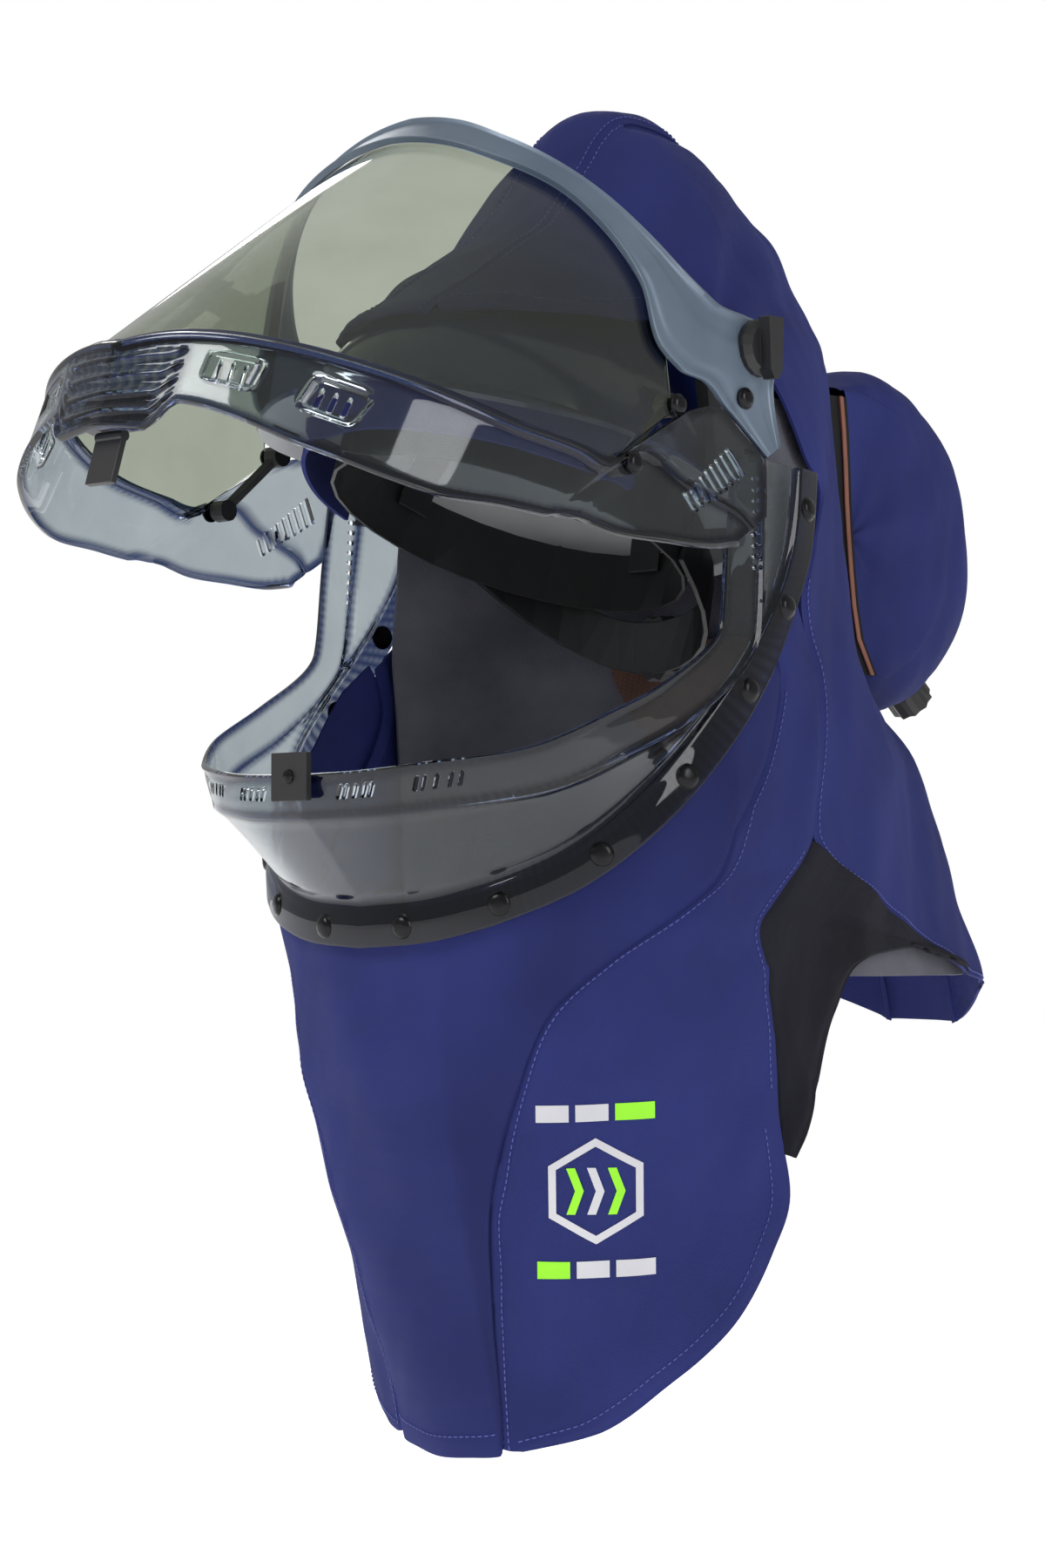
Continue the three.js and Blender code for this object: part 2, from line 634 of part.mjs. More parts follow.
// The visor's face in its own frame: across by a turn about the pivot line, down by distance.
// Past a quarter turn the face runs straight back as the side panels.
function visorPoint(turn, down, inward = 0) {
  const t = THREE.MathUtils.clamp(down / visorLong, -0.1, 1.1);
  const half = mix(visorTopHalf, visorEndHalf, t) - inward;
  const reach = mix(visorTopReach, visorEndReach, t) - inward;
  const shift = visorShift * t;
  const size = Math.abs(turn);
  const side = Math.sign(turn);
  if (size <= 90) {
    const x = half * Math.sin(size * degree) * side;
    return new THREE.Vector3(x, -shift - (reach - shift) * Math.cos(size * degree), -down);
  }
  const past = size - 90;
  const flare = Math.max(0, past - sideFlat) * sideFlare;
  return new THREE.Vector3(side * (half + flare), -shift + past * sideRun, -down);
}

const visorInward = p => new THREE.Vector3(-p.x, -p.y - 60, 0);

// Turns that all visor pieces share, so that layers over each other keep their facets in line
function turns(limit, extra = []) {
  const half = [...steps(15, 0, 90).filter(turn => turn <= limit), ...extra];
  return [...half.slice(1).reverse().map(turn => -turn), ...half];
}

const bracketRows = [
  { at: 0, rear: 9, front: 30 },
  { at: 14, rear: 13, front: 32 },
  { at: 27, rear: 18, front: 34 },
  { at: 42, rear: 19, front: 32 },
  { at: 54, rear: 19, front: 35 },
  { at: 66, rear: 18, front: 42 },
  { at: 78, rear: 11, front: 56 },
  { at: 84, rear: -3, front: 52 },
  { at: 90, rear: -17, front: 39 },
  { at: 96, rear: -14, front: 36 },
  { at: 102, rear: 0, front: 33 },
  { at: 108, rear: 8, front: 31 },
  { at: 117, rear: 17, front: 28 },
];

// The opaque arch with its arms and pivot lugs
function visorBracket() {
  const face = turns(90, [96, 102, 108, 117]).map(turn => {
    const at = Math.abs(turn);
    const rear = read(bracketRows, 'rear', at);
    const front = read(bracketRows, 'front', at);
    return steps(2, rear, front).map(down => visorPoint(turn, down));
  });
  return walled(face, bracketWall, visorInward);
}

const lensRows = [
  { at: 0, top: 24 },
  { at: 14, top: 26 },
  { at: 27, top: 28 },
  { at: 42, top: 26 },
  { at: 54, top: 28 },
  { at: 66, top: 35 },
  { at: 78, top: 49 },
  { at: 84, top: 58 },
  { at: 90, top: 66 },
];

function visorLens() {
  const lensShort = 3;
  const inward = bracketWall + 0.5;
  const face = turns(90).map(turn => {
    const at = Math.abs(turn);
    const top = read(lensRows, 'top', at);
    const end = read(frameRows, 'ridge', at) - lensShort;
    return steps(2, top, end).map(down => visorPoint(turn, down, inward));
  });
  return walled(face, lensWall, visorInward);
}

// Chin frame and side panels: upper line, lower line, and the inward lean of what lies past the ridge
const frameRows = [
  { at: 0, top: 223, ridge: 229, end: 258 },
  { at: 12, top: 216, ridge: 222, end: 257 },
  { at: 18, top: 213, ridge: 219, end: 244 },
  { at: 30, top: 206, ridge: 212, end: 242 },
  { at: 42, top: 196, ridge: 202, end: 239 },
  { at: 54, top: 182, ridge: 188, end: 231 },
  { at: 72, top: 155, ridge: 161, end: 211 },
  { at: 84, top: 128, ridge: 134, end: 182 },
  { at: 90, top: 112, ridge: 122, end: 166 },
  { at: 92, top: 60, ridge: 100, end: 160 },
  { at: 98, top: 36.3, ridge: 90, end: 148 },
  { at: 106, top: 32.6, ridge: 84, end: 135 },
  { at: 116, top: 29.4, ridge: 72, end: 112 },
  { at: 125, top: 40, ridge: 62, end: 90 },
  { at: 130, top: 48, ridge: 60, end: 72 },
];

function chinPoint(turn, down) {
  const at = Math.abs(turn);
  const past = Math.max(0, down - read(frameRows, 'ridge', at));
  const lean = past * chinTaper * Math.max(0, 1 - at / 95);
  const p = visorPoint(turn, down);
  const flat = new THREE.Vector3(p.x * 0.6, p.y, 0).normalize();
  return p.addScaledVector(flat, -lean);
}

function visorFrame() {
  const face = turns(90, [92, 98, 106, 116, 125, 130]).map(turn => {
    const at = Math.abs(turn);
    const top = read(frameRows, 'top', at);
    const ridge = read(frameRows, 'ridge', at);
    const end = read(frameRows, 'end', at);
    return [top, ridge, end].map(down => chinPoint(turn, down));
  });
  return cut(walled(face, bracketWall, visorInward), ...sideSlots(1), ...sideSlots(-1));
}

// A row of vent slots through a side panel, longer towards the bracket
function sideSlots(side) {
  return Array.from({ length: slotCount }, (_, i) => {
    const long = mix(slotShort, slotLong, i / (slotCount - 1));
    const slot = box(slotDeep, long, slotWide);
    const up = (i - (slotCount - 1) / 2) * slotPitch;
    const middle = visorPoint(90, slotDown).x + slotDeep / 2 - bracketWall;
    return slot.translate(side * middle, slotBack, up - slotDown);
  });
}

// Hat shell: a tilted dome whose front edge runs out into the peak
function hatFrame(x, y, up) {
  const turnX = hatTilt * degree;
  return new THREE.Vector3(
    x,
    hatCentreY + y * Math.cos(turnX) + up * Math.sin(turnX),
    hatCentreZ + up * Math.cos(turnX) - y * Math.sin(turnX),
  );
}

function hatShell() {
  const pointed = 1.6;
  const face = steps(28, 0, 360).slice(0, -1).map(angle => {
    const side = Math.sin(angle * degree);
    const ahead = Math.cos(angle * degree);
    const reach = ahead > 0 ? hatFront : hatBack;
    const dome = steps(7, 1, 0).map(share => {
      const size = Math.max(0, 1 - share ** pointed) ** (1 / pointed);
      return hatFrame(hatHalf * side * size, -reach * ahead * size, hatHigh * share);
    });
    const peak = THREE.MathUtils.smoothstep(ahead, 0.3, 0.8);
    const out = mix(hatLip, peakReach, peak);
    const edge = steps(2).slice(1).map(share => hatFrame(
      (hatHalf + out * share) * side,
      -(reach + out * share) * ahead,
      -(2 + 10 * peak) * share,
    ));
    return [...dome, ...edge];
  });
  return walled(face, shellWall, p => hatFrame(0, 0, -40).sub(p), true);
}

// Rings and straps of the suspension
function bandPoint(angle, up, grow = 0) {
  const x = (bandHalf + grow) * Math.sin(angle * degree);
  const y = -(bandLong + grow) * Math.cos(angle * degree);
  const tilt = hatTilt * degree;
  return new THREE.Vector3(
    x,
    y * Math.cos(tilt) + up * Math.sin(tilt),
    up * Math.cos(tilt) - y * Math.sin(tilt),
  );
}

function headband() {
  const edges = [bandTall / 2, -bandTall / 2];
  const face = steps(28, 0, 360).slice(0, -1).map(angle => edges.map(up => bandPoint(angle, up)));
  const band = walled(face, strapWall, p => new THREE.Vector3(-p.x, -p.y, 0), true);
  return joined(band, ...[84, 140, 220, 276].map(hanger));
}

// Key that carries the headband on the hat's wall
function hanger(angle) {
  const inset = shellWall + fitGap + 2;
  const side = Math.sin(angle * degree);
  const ahead = Math.cos(angle * degree);
  const reach = ahead > 0 ? hatFront : hatBack;
  const start = bandPoint(angle, bandTall / 2 - 3, -strapWall / 2);
  const end = hatFrame((hatHalf - inset) * side, -(reach - inset) * ahead, hangerTall / 2);
  const key = box(hangerWide, start.distanceTo(end), hangerTall);
  key.applyMatrix4(new THREE.Matrix4().lookAt(start, end, new THREE.Vector3(0, 0, 1))
    .multiply(new THREE.Matrix4().makeRotationX(Math.PI / 2)));
  return key.translate(...start.lerp(end, 0.5).toArray());
}

// A strap over the head, standing on the headband's inside
function crownStrap(turn, high) {
  const inset = strapWall + fitGap + 0.5;
  const face = steps(12, -90, 90).map(swing => {
    const middle = Math.cos(swing * degree);
    const out = Math.sin(swing * degree);
    return [-strapWide / 2, strapWide / 2].map(offset => {
      const across = new THREE.Vector3(out * (bandHalf - inset), offset, 0);
      if (turn) across.set(offset, out * (bandLong - inset - 0.8), 0);
      const up = bandTall / 2 - strapWide / 2 + high * middle;
      const tilt = hatTilt * degree;
      return new THREE.Vector3(
        across.x,
        across.y * Math.cos(tilt) + up * Math.sin(tilt),
        up * Math.cos(tilt) - across.y * Math.sin(tilt),
      );
    });
  });
  return walled(face, strapWall, p => new THREE.Vector3(-p.x, -p.y, -60 - p.z));
}

function napeStrap() {
  const wide = 26;
  const face = steps(16, 118, 242).map(angle => {
    const fall = Math.sin((angle - 118) / 124 * Math.PI);
    return [wide / 2, -wide / 2].map(up => {
      const p = bandPoint(angle, up, fitGap + 0.2);
      const back = Math.max(0, -Math.cos(angle * degree));
      return new THREE.Vector3(p.x, mix(p.y, napeBack, fall * back), mix(p.z, up - napeDrop, fall));
    });
  });
  return walled(face, strapWall + 1, p => new THREE.Vector3(p.x, p.y, 0));
}

// Ribbed round knob, turned about Z
function ribbedKnob(radius, rise, ribs) {
  const outline = [];
  for (let i = 0; i < ribs * 2; i += 1) {
    const turn = i * Math.PI / ribs;
    const size = i % 2 ? radius : radius * 0.88;
    outline.push([size * Math.cos(turn), size * Math.sin(turn)]);
  }
  return plate(outline, rise);
}

// Black wing knob on the visor's pivot: a round seat with a raised grip
function wingKnob() {
  const bevel = 3;
  const profile = [
    [0, 0],
    [knobRadius, 0],
    [knobRadius, bevel],
    [knobRadius - bevel, seatRise],
    [0, seatRise],
  ];
  const tip = knobRadius + 1.5;
  const outline = [
    [-knobRadius, -gripHalf],
    [tip - 4, 1 - gripHalf],
    [tip, -1.5],
    [tip, 1.5],
    [tip - 4, gripHalf - 1],
    [-knobRadius, gripHalf],
  ];
  const grip = plate(outline, gripRise);
  grip.translate(0, 0, seatRise - 1);
  return joined(turned(profile, 16), grip);
}

// Arm that joins hat, shroud and pivot: a pin under the visor's lug and a foot on the shroud's upright
function adapter(side) {
  const inside = hatHalf + hatLip - fitGap;
  const pinEnd = visorTopHalf - bracketWall - 2 * fitGap;
  const footEnd = shroudHalf * shroudRows.at(-1).rimX - shellWall - fitGap - footLean;
  const pin = turned([[0, 0], [pinRadius, 0], [pinRadius, pinEnd - inside], [0, pinEnd - inside]], 14);
  pin.rotateY(Math.PI / 2);
  pin.translate(inside, pivotBack, pivotHigh);
  const arm = box(armThick, armWide, armLong);
  arm.rotateX(-armLean * degree);
  arm.translate(inside + armThick / 2, pivotBack + footBack / 2, pivotHigh - armLong / 2 + pinRadius);
  const foot = box(footEnd - inside, armWide, footTall);
  foot.translate((footEnd + inside) / 2, pivotBack + footBack, pivotHigh - armLong + pinRadius);
  const solid = joined(pin, arm, foot);
  return side < 0 ? mirrorX(solid) : solid;
}

function mirrorX(geometry) {
  geometry.scale(-1, 1, 1);
  const index = geometry.index.array;
  for (let i = 0; i < index.length; i += 3) [index[i + 1], index[i + 2]] = [index[i + 2], index[i + 1]];
  return geometry;
}

// Cloth band that hangs under the peak, inside the hat's front edge
function browBand() {
  const inset = shellWall + fitGap + 1.2;
  const face = steps(14, -77, 77).map(angle => [browTuck, -browHang].map(up => hatFrame(
    (hatHalf - inset) * Math.sin(angle * degree),
    -(hatFront - inset) * Math.cos(angle * degree),
    up,
  )));
  return walled(face, clothWall, p => new THREE.Vector3(-p.x, -p.y, 0));
}

// Pouch: a half drum with flat D sides and a bulging rim, turned about a line across the hood
const pouchRows = [
  { across: -1, size: 0, bulge: 0 },
  { across: -1, size: 0.5, bulge: 0 },
  { across: -1, size: 1, bulge: 0 },
  { across: -0.9, size: 1, bulge: 0.45 },
  { across: -0.55, size: 1, bulge: 0.93 },
  { across: 0, size: 1, bulge: 1 },
  { across: 0.55, size: 1, bulge: 0.93 },
  { across: 0.9, size: 1, bulge: 0.45 },
  { across: 1, size: 1, bulge: 0 },
  { across: 1, size: 0.5, bulge: 0 },
  { across: 1, size: 0, bulge: 0 },
];

function pouchPoint(row, turn, depth) {
  const back = Math.cos(turn * degree);
  const high = Math.sin(turn * degree);
  const grow = row.bulge * mix(high > 0 ? rimTop : rimBottom, rimBack, back);
  return new THREE.Vector3(
    row.across * (pouchHalf - depth),
    pouchPlane + back * (row.size * (pouchFaceBack - depth) + grow),
    pouchMiddle + high * (row.size * (pouchFaceHigh - depth) + grow),
  );
}

function pouchBody() {
  const layer = depth => pouchRows.map(row => steps(14, 90, -90).map(turn => pouchPoint(row, turn, depth)));
  return closedGrid(layer(0), layer(clothWall));
}

// The hood's own form, a little larger, which trims what seats on its back
function hoodCore(grow) {
  const levels = steps(20, 110, -150);
  const corners = levels.map(z => steps(28, 0, 360).slice(0, -1).map(angle => {
    const p = hoodPoint(angle, z);
    return p.addScaledVector(hoodNormal(p).setZ(0).normalize(), grow);
  }));
  const points = corners.flat();
  const count = 28;
  const faces = [];
  for (let r = 0; r < levels.length - 1; r += 1) {
    for (let c = 0; c < count; c += 1) {
      const next = (c + 1) % count;
      const [a, b] = [r * count + c, r * count + next];
      faces.push([a, a + count, b + count], [a, b + count, b]);
    }
  }
  for (const [ring, flip] of [[0, false], [levels.length - 1, true]]) {
    const z = levels[ring];
    points.push(new THREE.Vector3(0, section(z).middle, z));
    const hub = points.length - 1;
    for (let c = 0; c < count; c += 1) {
      const [a, b] = [ring * count + c, ring * count + (c + 1) % count];
      faces.push(flip ? [hub, b, a] : [hub, a, b]);
    }
  }
  return solidOf(points, faces);
}

// Black strip and brown edge between the pouch's side and the hood
function pouchStrip(side, start, wide, wall, from) {
  const face = steps(8, pouchFaceHigh - 2, -pouchFaceHigh + 2).map(high => {
    const z = pouchMiddle + high;
    const x = side * (pouchHalf + from);
    const line = leaves(new THREE.Vector3(x, 60, z), new THREE.Vector3(0, 1, 0));
    return [start, start + wide].map(back => new THREE.Vector3(x, line.y + back, z));
  });
  return walled(face, wall, () => new THREE.Vector3(side, 0, 0));
}

// Where the latch sits: inside the chin block, square to its lean
function latchPlace(along) {
  const lean = Math.atan(chinTaper);
  const out = new THREE.Vector3(0, -Math.cos(lean), -Math.sin(lean));
  const down = new THREE.Vector3(0, Math.sin(lean), -Math.cos(lean));
  const seat = chinPoint(0, 250);
  const sink = shellWall + fitGap + 3 + latchThick / 2;
  return { place: seat.addScaledVector(out, -sink).addScaledVector(down, along), lean };
}

function latchLever() {
  const barrel = new THREE.CylinderGeometry(barrelRadius, barrelRadius, leverWide, 12);
  barrel.rotateZ(Math.PI / 2);
  const blade = box(leverWide, leverThick, leverLong);
  blade.translate(0, 0, -leverLong / 2);
  return joined(welded(barrel), blade);
}

// Bar with two round ends that holds the lens's rear edge from inside
function lensClip(side) {
  const ends = clipEnds.map(({ back, down }) => {
    const face = visorPoint(90, down).x - bracketWall - 0.5 - lensWall - fitGap;
    const end = turned([[0, 0], [clipRadius, 0], [clipRadius, clipRise], [0, clipRise]], 12);
    end.rotateY(-Math.PI / 2);
    end.translate(face, back, -down);
    return { end, place: new THREE.Vector3(face - clipRise / 2, back, -down) };
  });
  const [a, b] = ends.map(({ place }) => place);
  const bar = box(4, 4, a.distanceTo(b));
  bar.applyQuaternion(new THREE.Quaternion().setFromUnitVectors(
    new THREE.Vector3(0, 0, 1),
    b.clone().sub(a).normalize(),
  ));
  bar.translate(...a.clone().lerp(b, 0.5).toArray());
  const clip = joined(ends[0].end, ends[1].end, bar);
  return side < 0 ? mirrorX(clip) : clip;
}

// Where the lens's rivets and clip ends stand, behind the pivot line and down the visor
const clipEnds = [{ back: -2.7, down: 61 }, { back: 3.6, down: 106 }];

// Colours of the plain model
const look = (color, options = {}) => new THREE.MeshStandardMaterial({ color, roughness: 0.7, ...options });
const navyCloth = look(0x2f3280);
const knit = look(0x1d1f2b);
const fleece = look(0x454747);
const black = look(0x141416, { roughness: 0.4 });
const smoked = look(0x2c3a55, { transparent: true, opacity: 0.6, roughness: 0.2 });
const clear = look(0xbcc3b4, { transparent: true, opacity: 0.4, roughness: 0.1 });
const metalGrey = look(0x64707e, { roughness: 0.45 });
const navyGloss = look(0x1c2a55, { roughness: 0.15 });
const leather = look(0xae6e5a);
const meshBrown = look(0x7a5138);

function build() {
  const hood = new THREE.Group();
  hood.name = 'arc_flash_hood';
  const visor = new THREE.Group();
  visor.name = 'visor';
  visor.position.set(0, pivotBack, pivotHigh);
  visor.rotation.x = -visorTilt * degree;
  hood.add(visor);

  const put = (parent, name, geometry, material) => {
    const mesh = new THREE.Mesh(geometry, material);
    mesh.name = name;
    parent.add(mesh);
    return mesh;
  };
  const sides = [['left', 1], ['right', -1]];

  // Cloth
  put(hood, 'crown_strip', crownStrip(), navyCloth);
  const centre = scaledRows(centreRows);
  const mirrored = centre.slice(1).reverse().map(row => ({
    ...row,
    fromAngle: -row.fromAngle,
    toAngle: -row.toAngle,
  }));
  put(hood, 'bib_centre', panel([...mirrored, ...centre], { perRow: 1, across: 5 }), navyCloth);
  for (const [name, mirror] of sides) {
    put(hood, `side_${name}`, panel(sidePanelRows(), { perRow: 1, across: 10, mirror }), navyCloth);
    put(hood, `bib_${name}`, panel(scaledRows(bibRows), { perRow: 1, across: 5, mirror }), navyCloth);
    put(hood, `gusset_${name}`, panel(scaledRows(gussetRows), { perRow: 1, across: 3, mirror }), knit);
  }
  put(hood, 'lining', lining(), fleece);
  put(hood, 'mesh_panel', meshPanel(), meshBrown);
  put(hood, 'brow_band', browBand(), navyCloth);

  // Hat and suspension
  put(hood, 'hat_shell', hatShell(), navyGloss);
  put(hood, 'headband', headband(), black);
  put(hood, 'crown_strap_across', crownStrap(0, 70), black);
  put(hood, 'crown_strap_along', crownStrap(1, 70 + strapWall + fitGap + 0.6), black);
  put(hood, 'nape_strap', napeStrap(), black);
  const ratchet = put(hood, 'ratchet_knob', ribbedKnob(ratchetRadius, 11, 12), black);
  ratchet.rotation.x = -Math.PI / 2;
  ratchet.position.set(0, napeBack + strapWall + 1 + fitGap, -napeDrop);
  for (const [name, side] of sides) put(hood, `adapter_${name}`, adapter(side), black);

  // Chin guard
  const shroudShape = shroud();
  put(hood, 'shroud', shroudShape, smoked);
  const upright = new THREE.Vector3(0, 0, 1);
  rivetSeats().forEach((at, i) => sides.forEach(([name, side]) => {
    const { point, normal } = flangePoint(side, at, 0);
    const rivet = put(hood, `shroud_rivet_${name}_${i + 1}`, domed(rivetRadius, rivetRise), black);
    rivet.position.copy(seatOn([shroudShape], point, normal, rivetRadius));
    rivet.quaternion.setFromUnitVectors(upright, normal);
  }));
  const front = shroudSection(0).reduce((best, p) => (p.y < best.y ? p : best));
  const strike = put(hood, 'strike', box(24, strikeThick, 22), black);
  strike.position.set(0, front.y - strikeThick / 2 - fitGap, front.z);
  const strikeScrew = put(hood, 'strike_screw', domed(3.5, 1.6), black);
  strikeScrew.position.set(0, front.y - strikeThick - 2 * fitGap, front.z);
  strikeScrew.rotation.x = Math.PI / 2;

  // Visor
  const bracketShape = visorBracket();
  const lensShape = visorLens();
  const frameShape = visorFrame();
  put(visor, 'visor_bracket', bracketShape, metalGrey);
  put(visor, 'visor_lens', lensShape, clear);
  put(visor, 'visor_frame', frameShape, smoked);
  for (const [name, side] of sides) {
    const sideways = new THREE.Vector3(side, 0, 0);
    clipEnds.forEach(({ back, down }, i) => {
      const seat = visorPoint(side * 90, down).setY(back);
      const rivet = put(visor, `visor_rivet_${name}_${i + 1}`, domed(smallRivet, smallRise), black);
      rivet.position.copy(seatOn([frameShape, lensShape], seat, sideways, smallRivet));
      rivet.quaternion.setFromUnitVectors(upright, sideways);
    });
    put(visor, `lens_clip_${name}`, lensClip(side), black);
    const screw = put(visor, `bracket_screw_${name}`, domed(smallRivet, smallRise), black);
    screw.position.copy(seatOn([bracketShape], visorPoint(side * 99.5, 22), sideways, smallRivet));
    screw.quaternion.setFromUnitVectors(upright, sideways);
    const knob = put(hood, `knob_${name}`, wingKnob(), black);
    knob.position.set(side * (visorTopHalf + 2 * fitGap), pivotBack, pivotHigh);
    knob.rotation.set(0, side * Math.PI / 2, 0);
  }

  const base = latchPlace(0);
  const latch = put(visor, 'latch_base', box(latchWide, latchThick, latchLong), black);
  latch.position.copy(base.place);
  latch.rotation.x = base.lean;
  const hinge = latchPlace(latchLong / 2 + barrelRadius + fitGap);
  const lever = put(visor, 'latch_lever', latchLever(), black);
  lever.position.copy(hinge.place);
  lever.rotation.x = hinge.lean;

  // Pouch
  put(hood, 'pouch_body', cut(pouchBody(), hoodCore(6)), navyCloth);
  for (const [name, side] of sides) {
    put(hood, `pouch_strip_${name}`, pouchStrip(side, 3.4, 14, stripWall, fitGap), black);
    const trimFrom = stripWall + 2 * fitGap;
    put(hood, `pouch_trim_${name}`, pouchStrip(side, 12, 3, 1.2, trimFrom), leather);
  }
  const capSeat = pouchPoint({ across: 0.3, size: 1, bulge: 1 }, capTurn, 0);
  const capNormal = new THREE.Vector3(
    0,
    Math.cos(capTurn * degree) / pouchFaceBack,
    Math.sin(capTurn * degree) / pouchFaceHigh,
  );
  const cap = put(hood, 'pouch_cap', ribbedKnob(capRadius, capRise, 10), black);
  cap.position.copy(capSeat).addScaledVector(capNormal.normalize(), fitGap);
  cap.quaternion.setFromUnitVectors(upright, capNormal);
  return hood;
}

export default build();
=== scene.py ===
import bpy
import math
import numpy as np
from mathutils import Matrix, Vector


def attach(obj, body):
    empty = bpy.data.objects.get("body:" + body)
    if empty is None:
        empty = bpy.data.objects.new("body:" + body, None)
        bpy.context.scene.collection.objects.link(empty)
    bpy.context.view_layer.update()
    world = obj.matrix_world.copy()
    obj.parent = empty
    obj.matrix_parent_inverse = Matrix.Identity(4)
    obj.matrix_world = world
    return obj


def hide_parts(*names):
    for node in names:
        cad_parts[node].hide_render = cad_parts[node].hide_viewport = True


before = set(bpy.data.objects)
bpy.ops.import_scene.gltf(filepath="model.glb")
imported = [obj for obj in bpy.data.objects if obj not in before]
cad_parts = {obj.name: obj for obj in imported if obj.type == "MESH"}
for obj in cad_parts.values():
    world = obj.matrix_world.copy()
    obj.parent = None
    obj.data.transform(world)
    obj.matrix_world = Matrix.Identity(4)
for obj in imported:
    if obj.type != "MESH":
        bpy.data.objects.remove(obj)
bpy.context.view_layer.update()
rng = np.random.default_rng(7)
print("frame loaded")

# Camera
cameraLook = {"place": (1.2532, -1.2711, -0.19656), "turn": 44.5, "up": 2.02, "lens": 85}

def addCamera(look):
    data = bpy.data.cameras.new("camera")
    data.lens = look["lens"]
    data.sensor_width = 36
    data.clip_start = 0.05
    camera = bpy.data.objects.new("camera", data)
    bpy.context.scene.collection.objects.link(camera)
    turn, up = math.radians(look["turn"]), math.radians(look["up"])
    ahead = Vector((-math.sin(turn) * math.cos(up), math.cos(turn) * math.cos(up), math.sin(up)))
    camera.location = look["place"]
    camera.rotation_mode = "QUATERNION"
    camera.rotation_quaternion = ahead.to_track_quat("-Z", "Y")
    bpy.context.scene.camera = camera

addCamera(cameraLook)


# Materials
def shade(r, g, b):
    line = lambda c: c / 12.92 if c <= 0.04045 else ((c + 0.055) / 1.055) ** 2.4
    return (line(r / 255), line(g / 255), line(b / 255), 1)

class Look:
    def __init__(self, name, **fixed):
        self.material = bpy.data.materials.new(name)
        self.material.use_nodes = True
        self.tree = self.material.node_tree
        self.shader = self.tree.nodes["Principled BSDF"]
        for key, value in fixed.items():
            self.shader.inputs[key.replace("_", " ")].default_value = value
        self.where = self.add("ShaderNodeTexCoord")

    def add(self, kind, inputs=None, **settings):
        node = self.tree.nodes.new(kind)
        for key, value in settings.items():
            setattr(node, key, value)
        for key, value in (inputs or {}).items():
            if isinstance(value, bpy.types.NodeSocket):
                self.tree.links.new(value, node.inputs[key])
            else:
                node.inputs[key].default_value = value
        return node

    def noise(self, scale, source="Object", detail=3, stretch=(1, 1, 1), rough=0.55):
        spot = self.add("ShaderNodeMapping", {"Vector": self.where.outputs[source], "Scale": stretch})
        return self.add("ShaderNodeTexNoise", {"Vector": spot.outputs[0], "Scale": scale,
                                               "Detail": detail, "Roughness": rough}).outputs["Fac"]

    def bands(self, scale, source="UV", turn=0.0, warp=0.0):
        spot = self.add("ShaderNodeMapping", {"Vector": self.where.outputs[source], "Rotation": (0, 0, turn)})
        return self.add("ShaderNodeTexWave", {"Vector": spot.outputs[0], "Scale": scale, "Distortion": warp,
                                              "Detail": 1.0}).outputs["Fac"]

    def ramp(self, value, low, high, a, b):
        node = self.add("ShaderNodeValToRGB", {"Fac": value})
        node.color_ramp.elements[0].position = low
        node.color_ramp.elements[0].color = a
        node.color_ramp.elements[1].position = high
        node.color_ramp.elements[1].color = b
        return node.outputs["Color"]

    def span(self, value, low, high):
        return self.add("ShaderNodeMapRange", {"Value": value, "To Min": low, "To Max": high}).outputs[0]

    def mathNode(self, kind, a, b):
        return self.add("ShaderNodeMath", {0: a, 1: b}, operation=kind).outputs[0]

    def mixColour(self, factor, a, b, blend="MIX"):
        node = self.add("ShaderNodeMix", data_type="RGBA", blend_type=blend)
        for index, value in ((0, factor), (6, a), (7, b)):
            if isinstance(value, bpy.types.NodeSocket):
                self.tree.links.new(value, node.inputs[index])
            else:
                node.inputs[index].default_value = value
        return node.outputs[2]

    def set(self, key, value):
        self.tree.links.new(value, self.shader.inputs[key])

    def bump(self, height, depth, strength=1.0, under=None):
        inputs = {"Height": height, "Distance": depth, "Strength": strength}
        if under is not None:
            inputs["Normal"] = under
        return self.add("ShaderNodeBump", inputs).outputs[0]


def clothLook(name, lit, dark, weave=700, sheen=0.25, rough=0.8):
    look = Look(name, Sheen_Weight=sheen, Sheen_Roughness=0.45, Sheen_Tint=lit, Specular_IOR_Level=0.25)
    twill = look.bands(weave, turn=0.9, warp=0.6)
    cross = look.bands(weave * 0.8, turn=-0.5, warp=0.6)
    broad = look.noise(9, detail=4)
    slub = look.noise(160, "UV", detail=2, stretch=(1, 0.15, 1))
    tone = look.ramp(broad, 0.3, 0.72, dark, lit)
    thread = look.span(look.mathNode("MULTIPLY", twill, slub), 0.86, 1.12)
    look.set("Base Color", look.mixColour(1.0, tone, thread, "MULTIPLY"))
    look.set("Roughness", look.span(slub, rough - 0.08, rough + 0.1))
    soft = look.bump(look.noise(38, detail=5, rough=0.6), 0.0012, 0.55)
    fine = look.bump(look.mathNode("ADD", twill, cross), 0.00016, 0.7, soft)
    look.set("Normal", fine)
    return look.material


def plasticLook(name, lit, dark, rough=0.4, grain=900, depth=0.00005, **fixed):
    look = Look(name, **fixed)
    broad = look.noise(14, detail=4)
    look.set("Base Color", look.ramp(broad, 0.3, 0.75, dark, lit))
    fine = look.noise(grain, detail=2)
    scuff = look.noise(60, detail=6, rough=0.7, stretch=(1, 1, 3))
    look.set("Roughness", look.span(scuff, rough - 0.07, rough + 0.1))
    look.set("Normal", look.bump(fine, depth, 0.6))
    return look.material


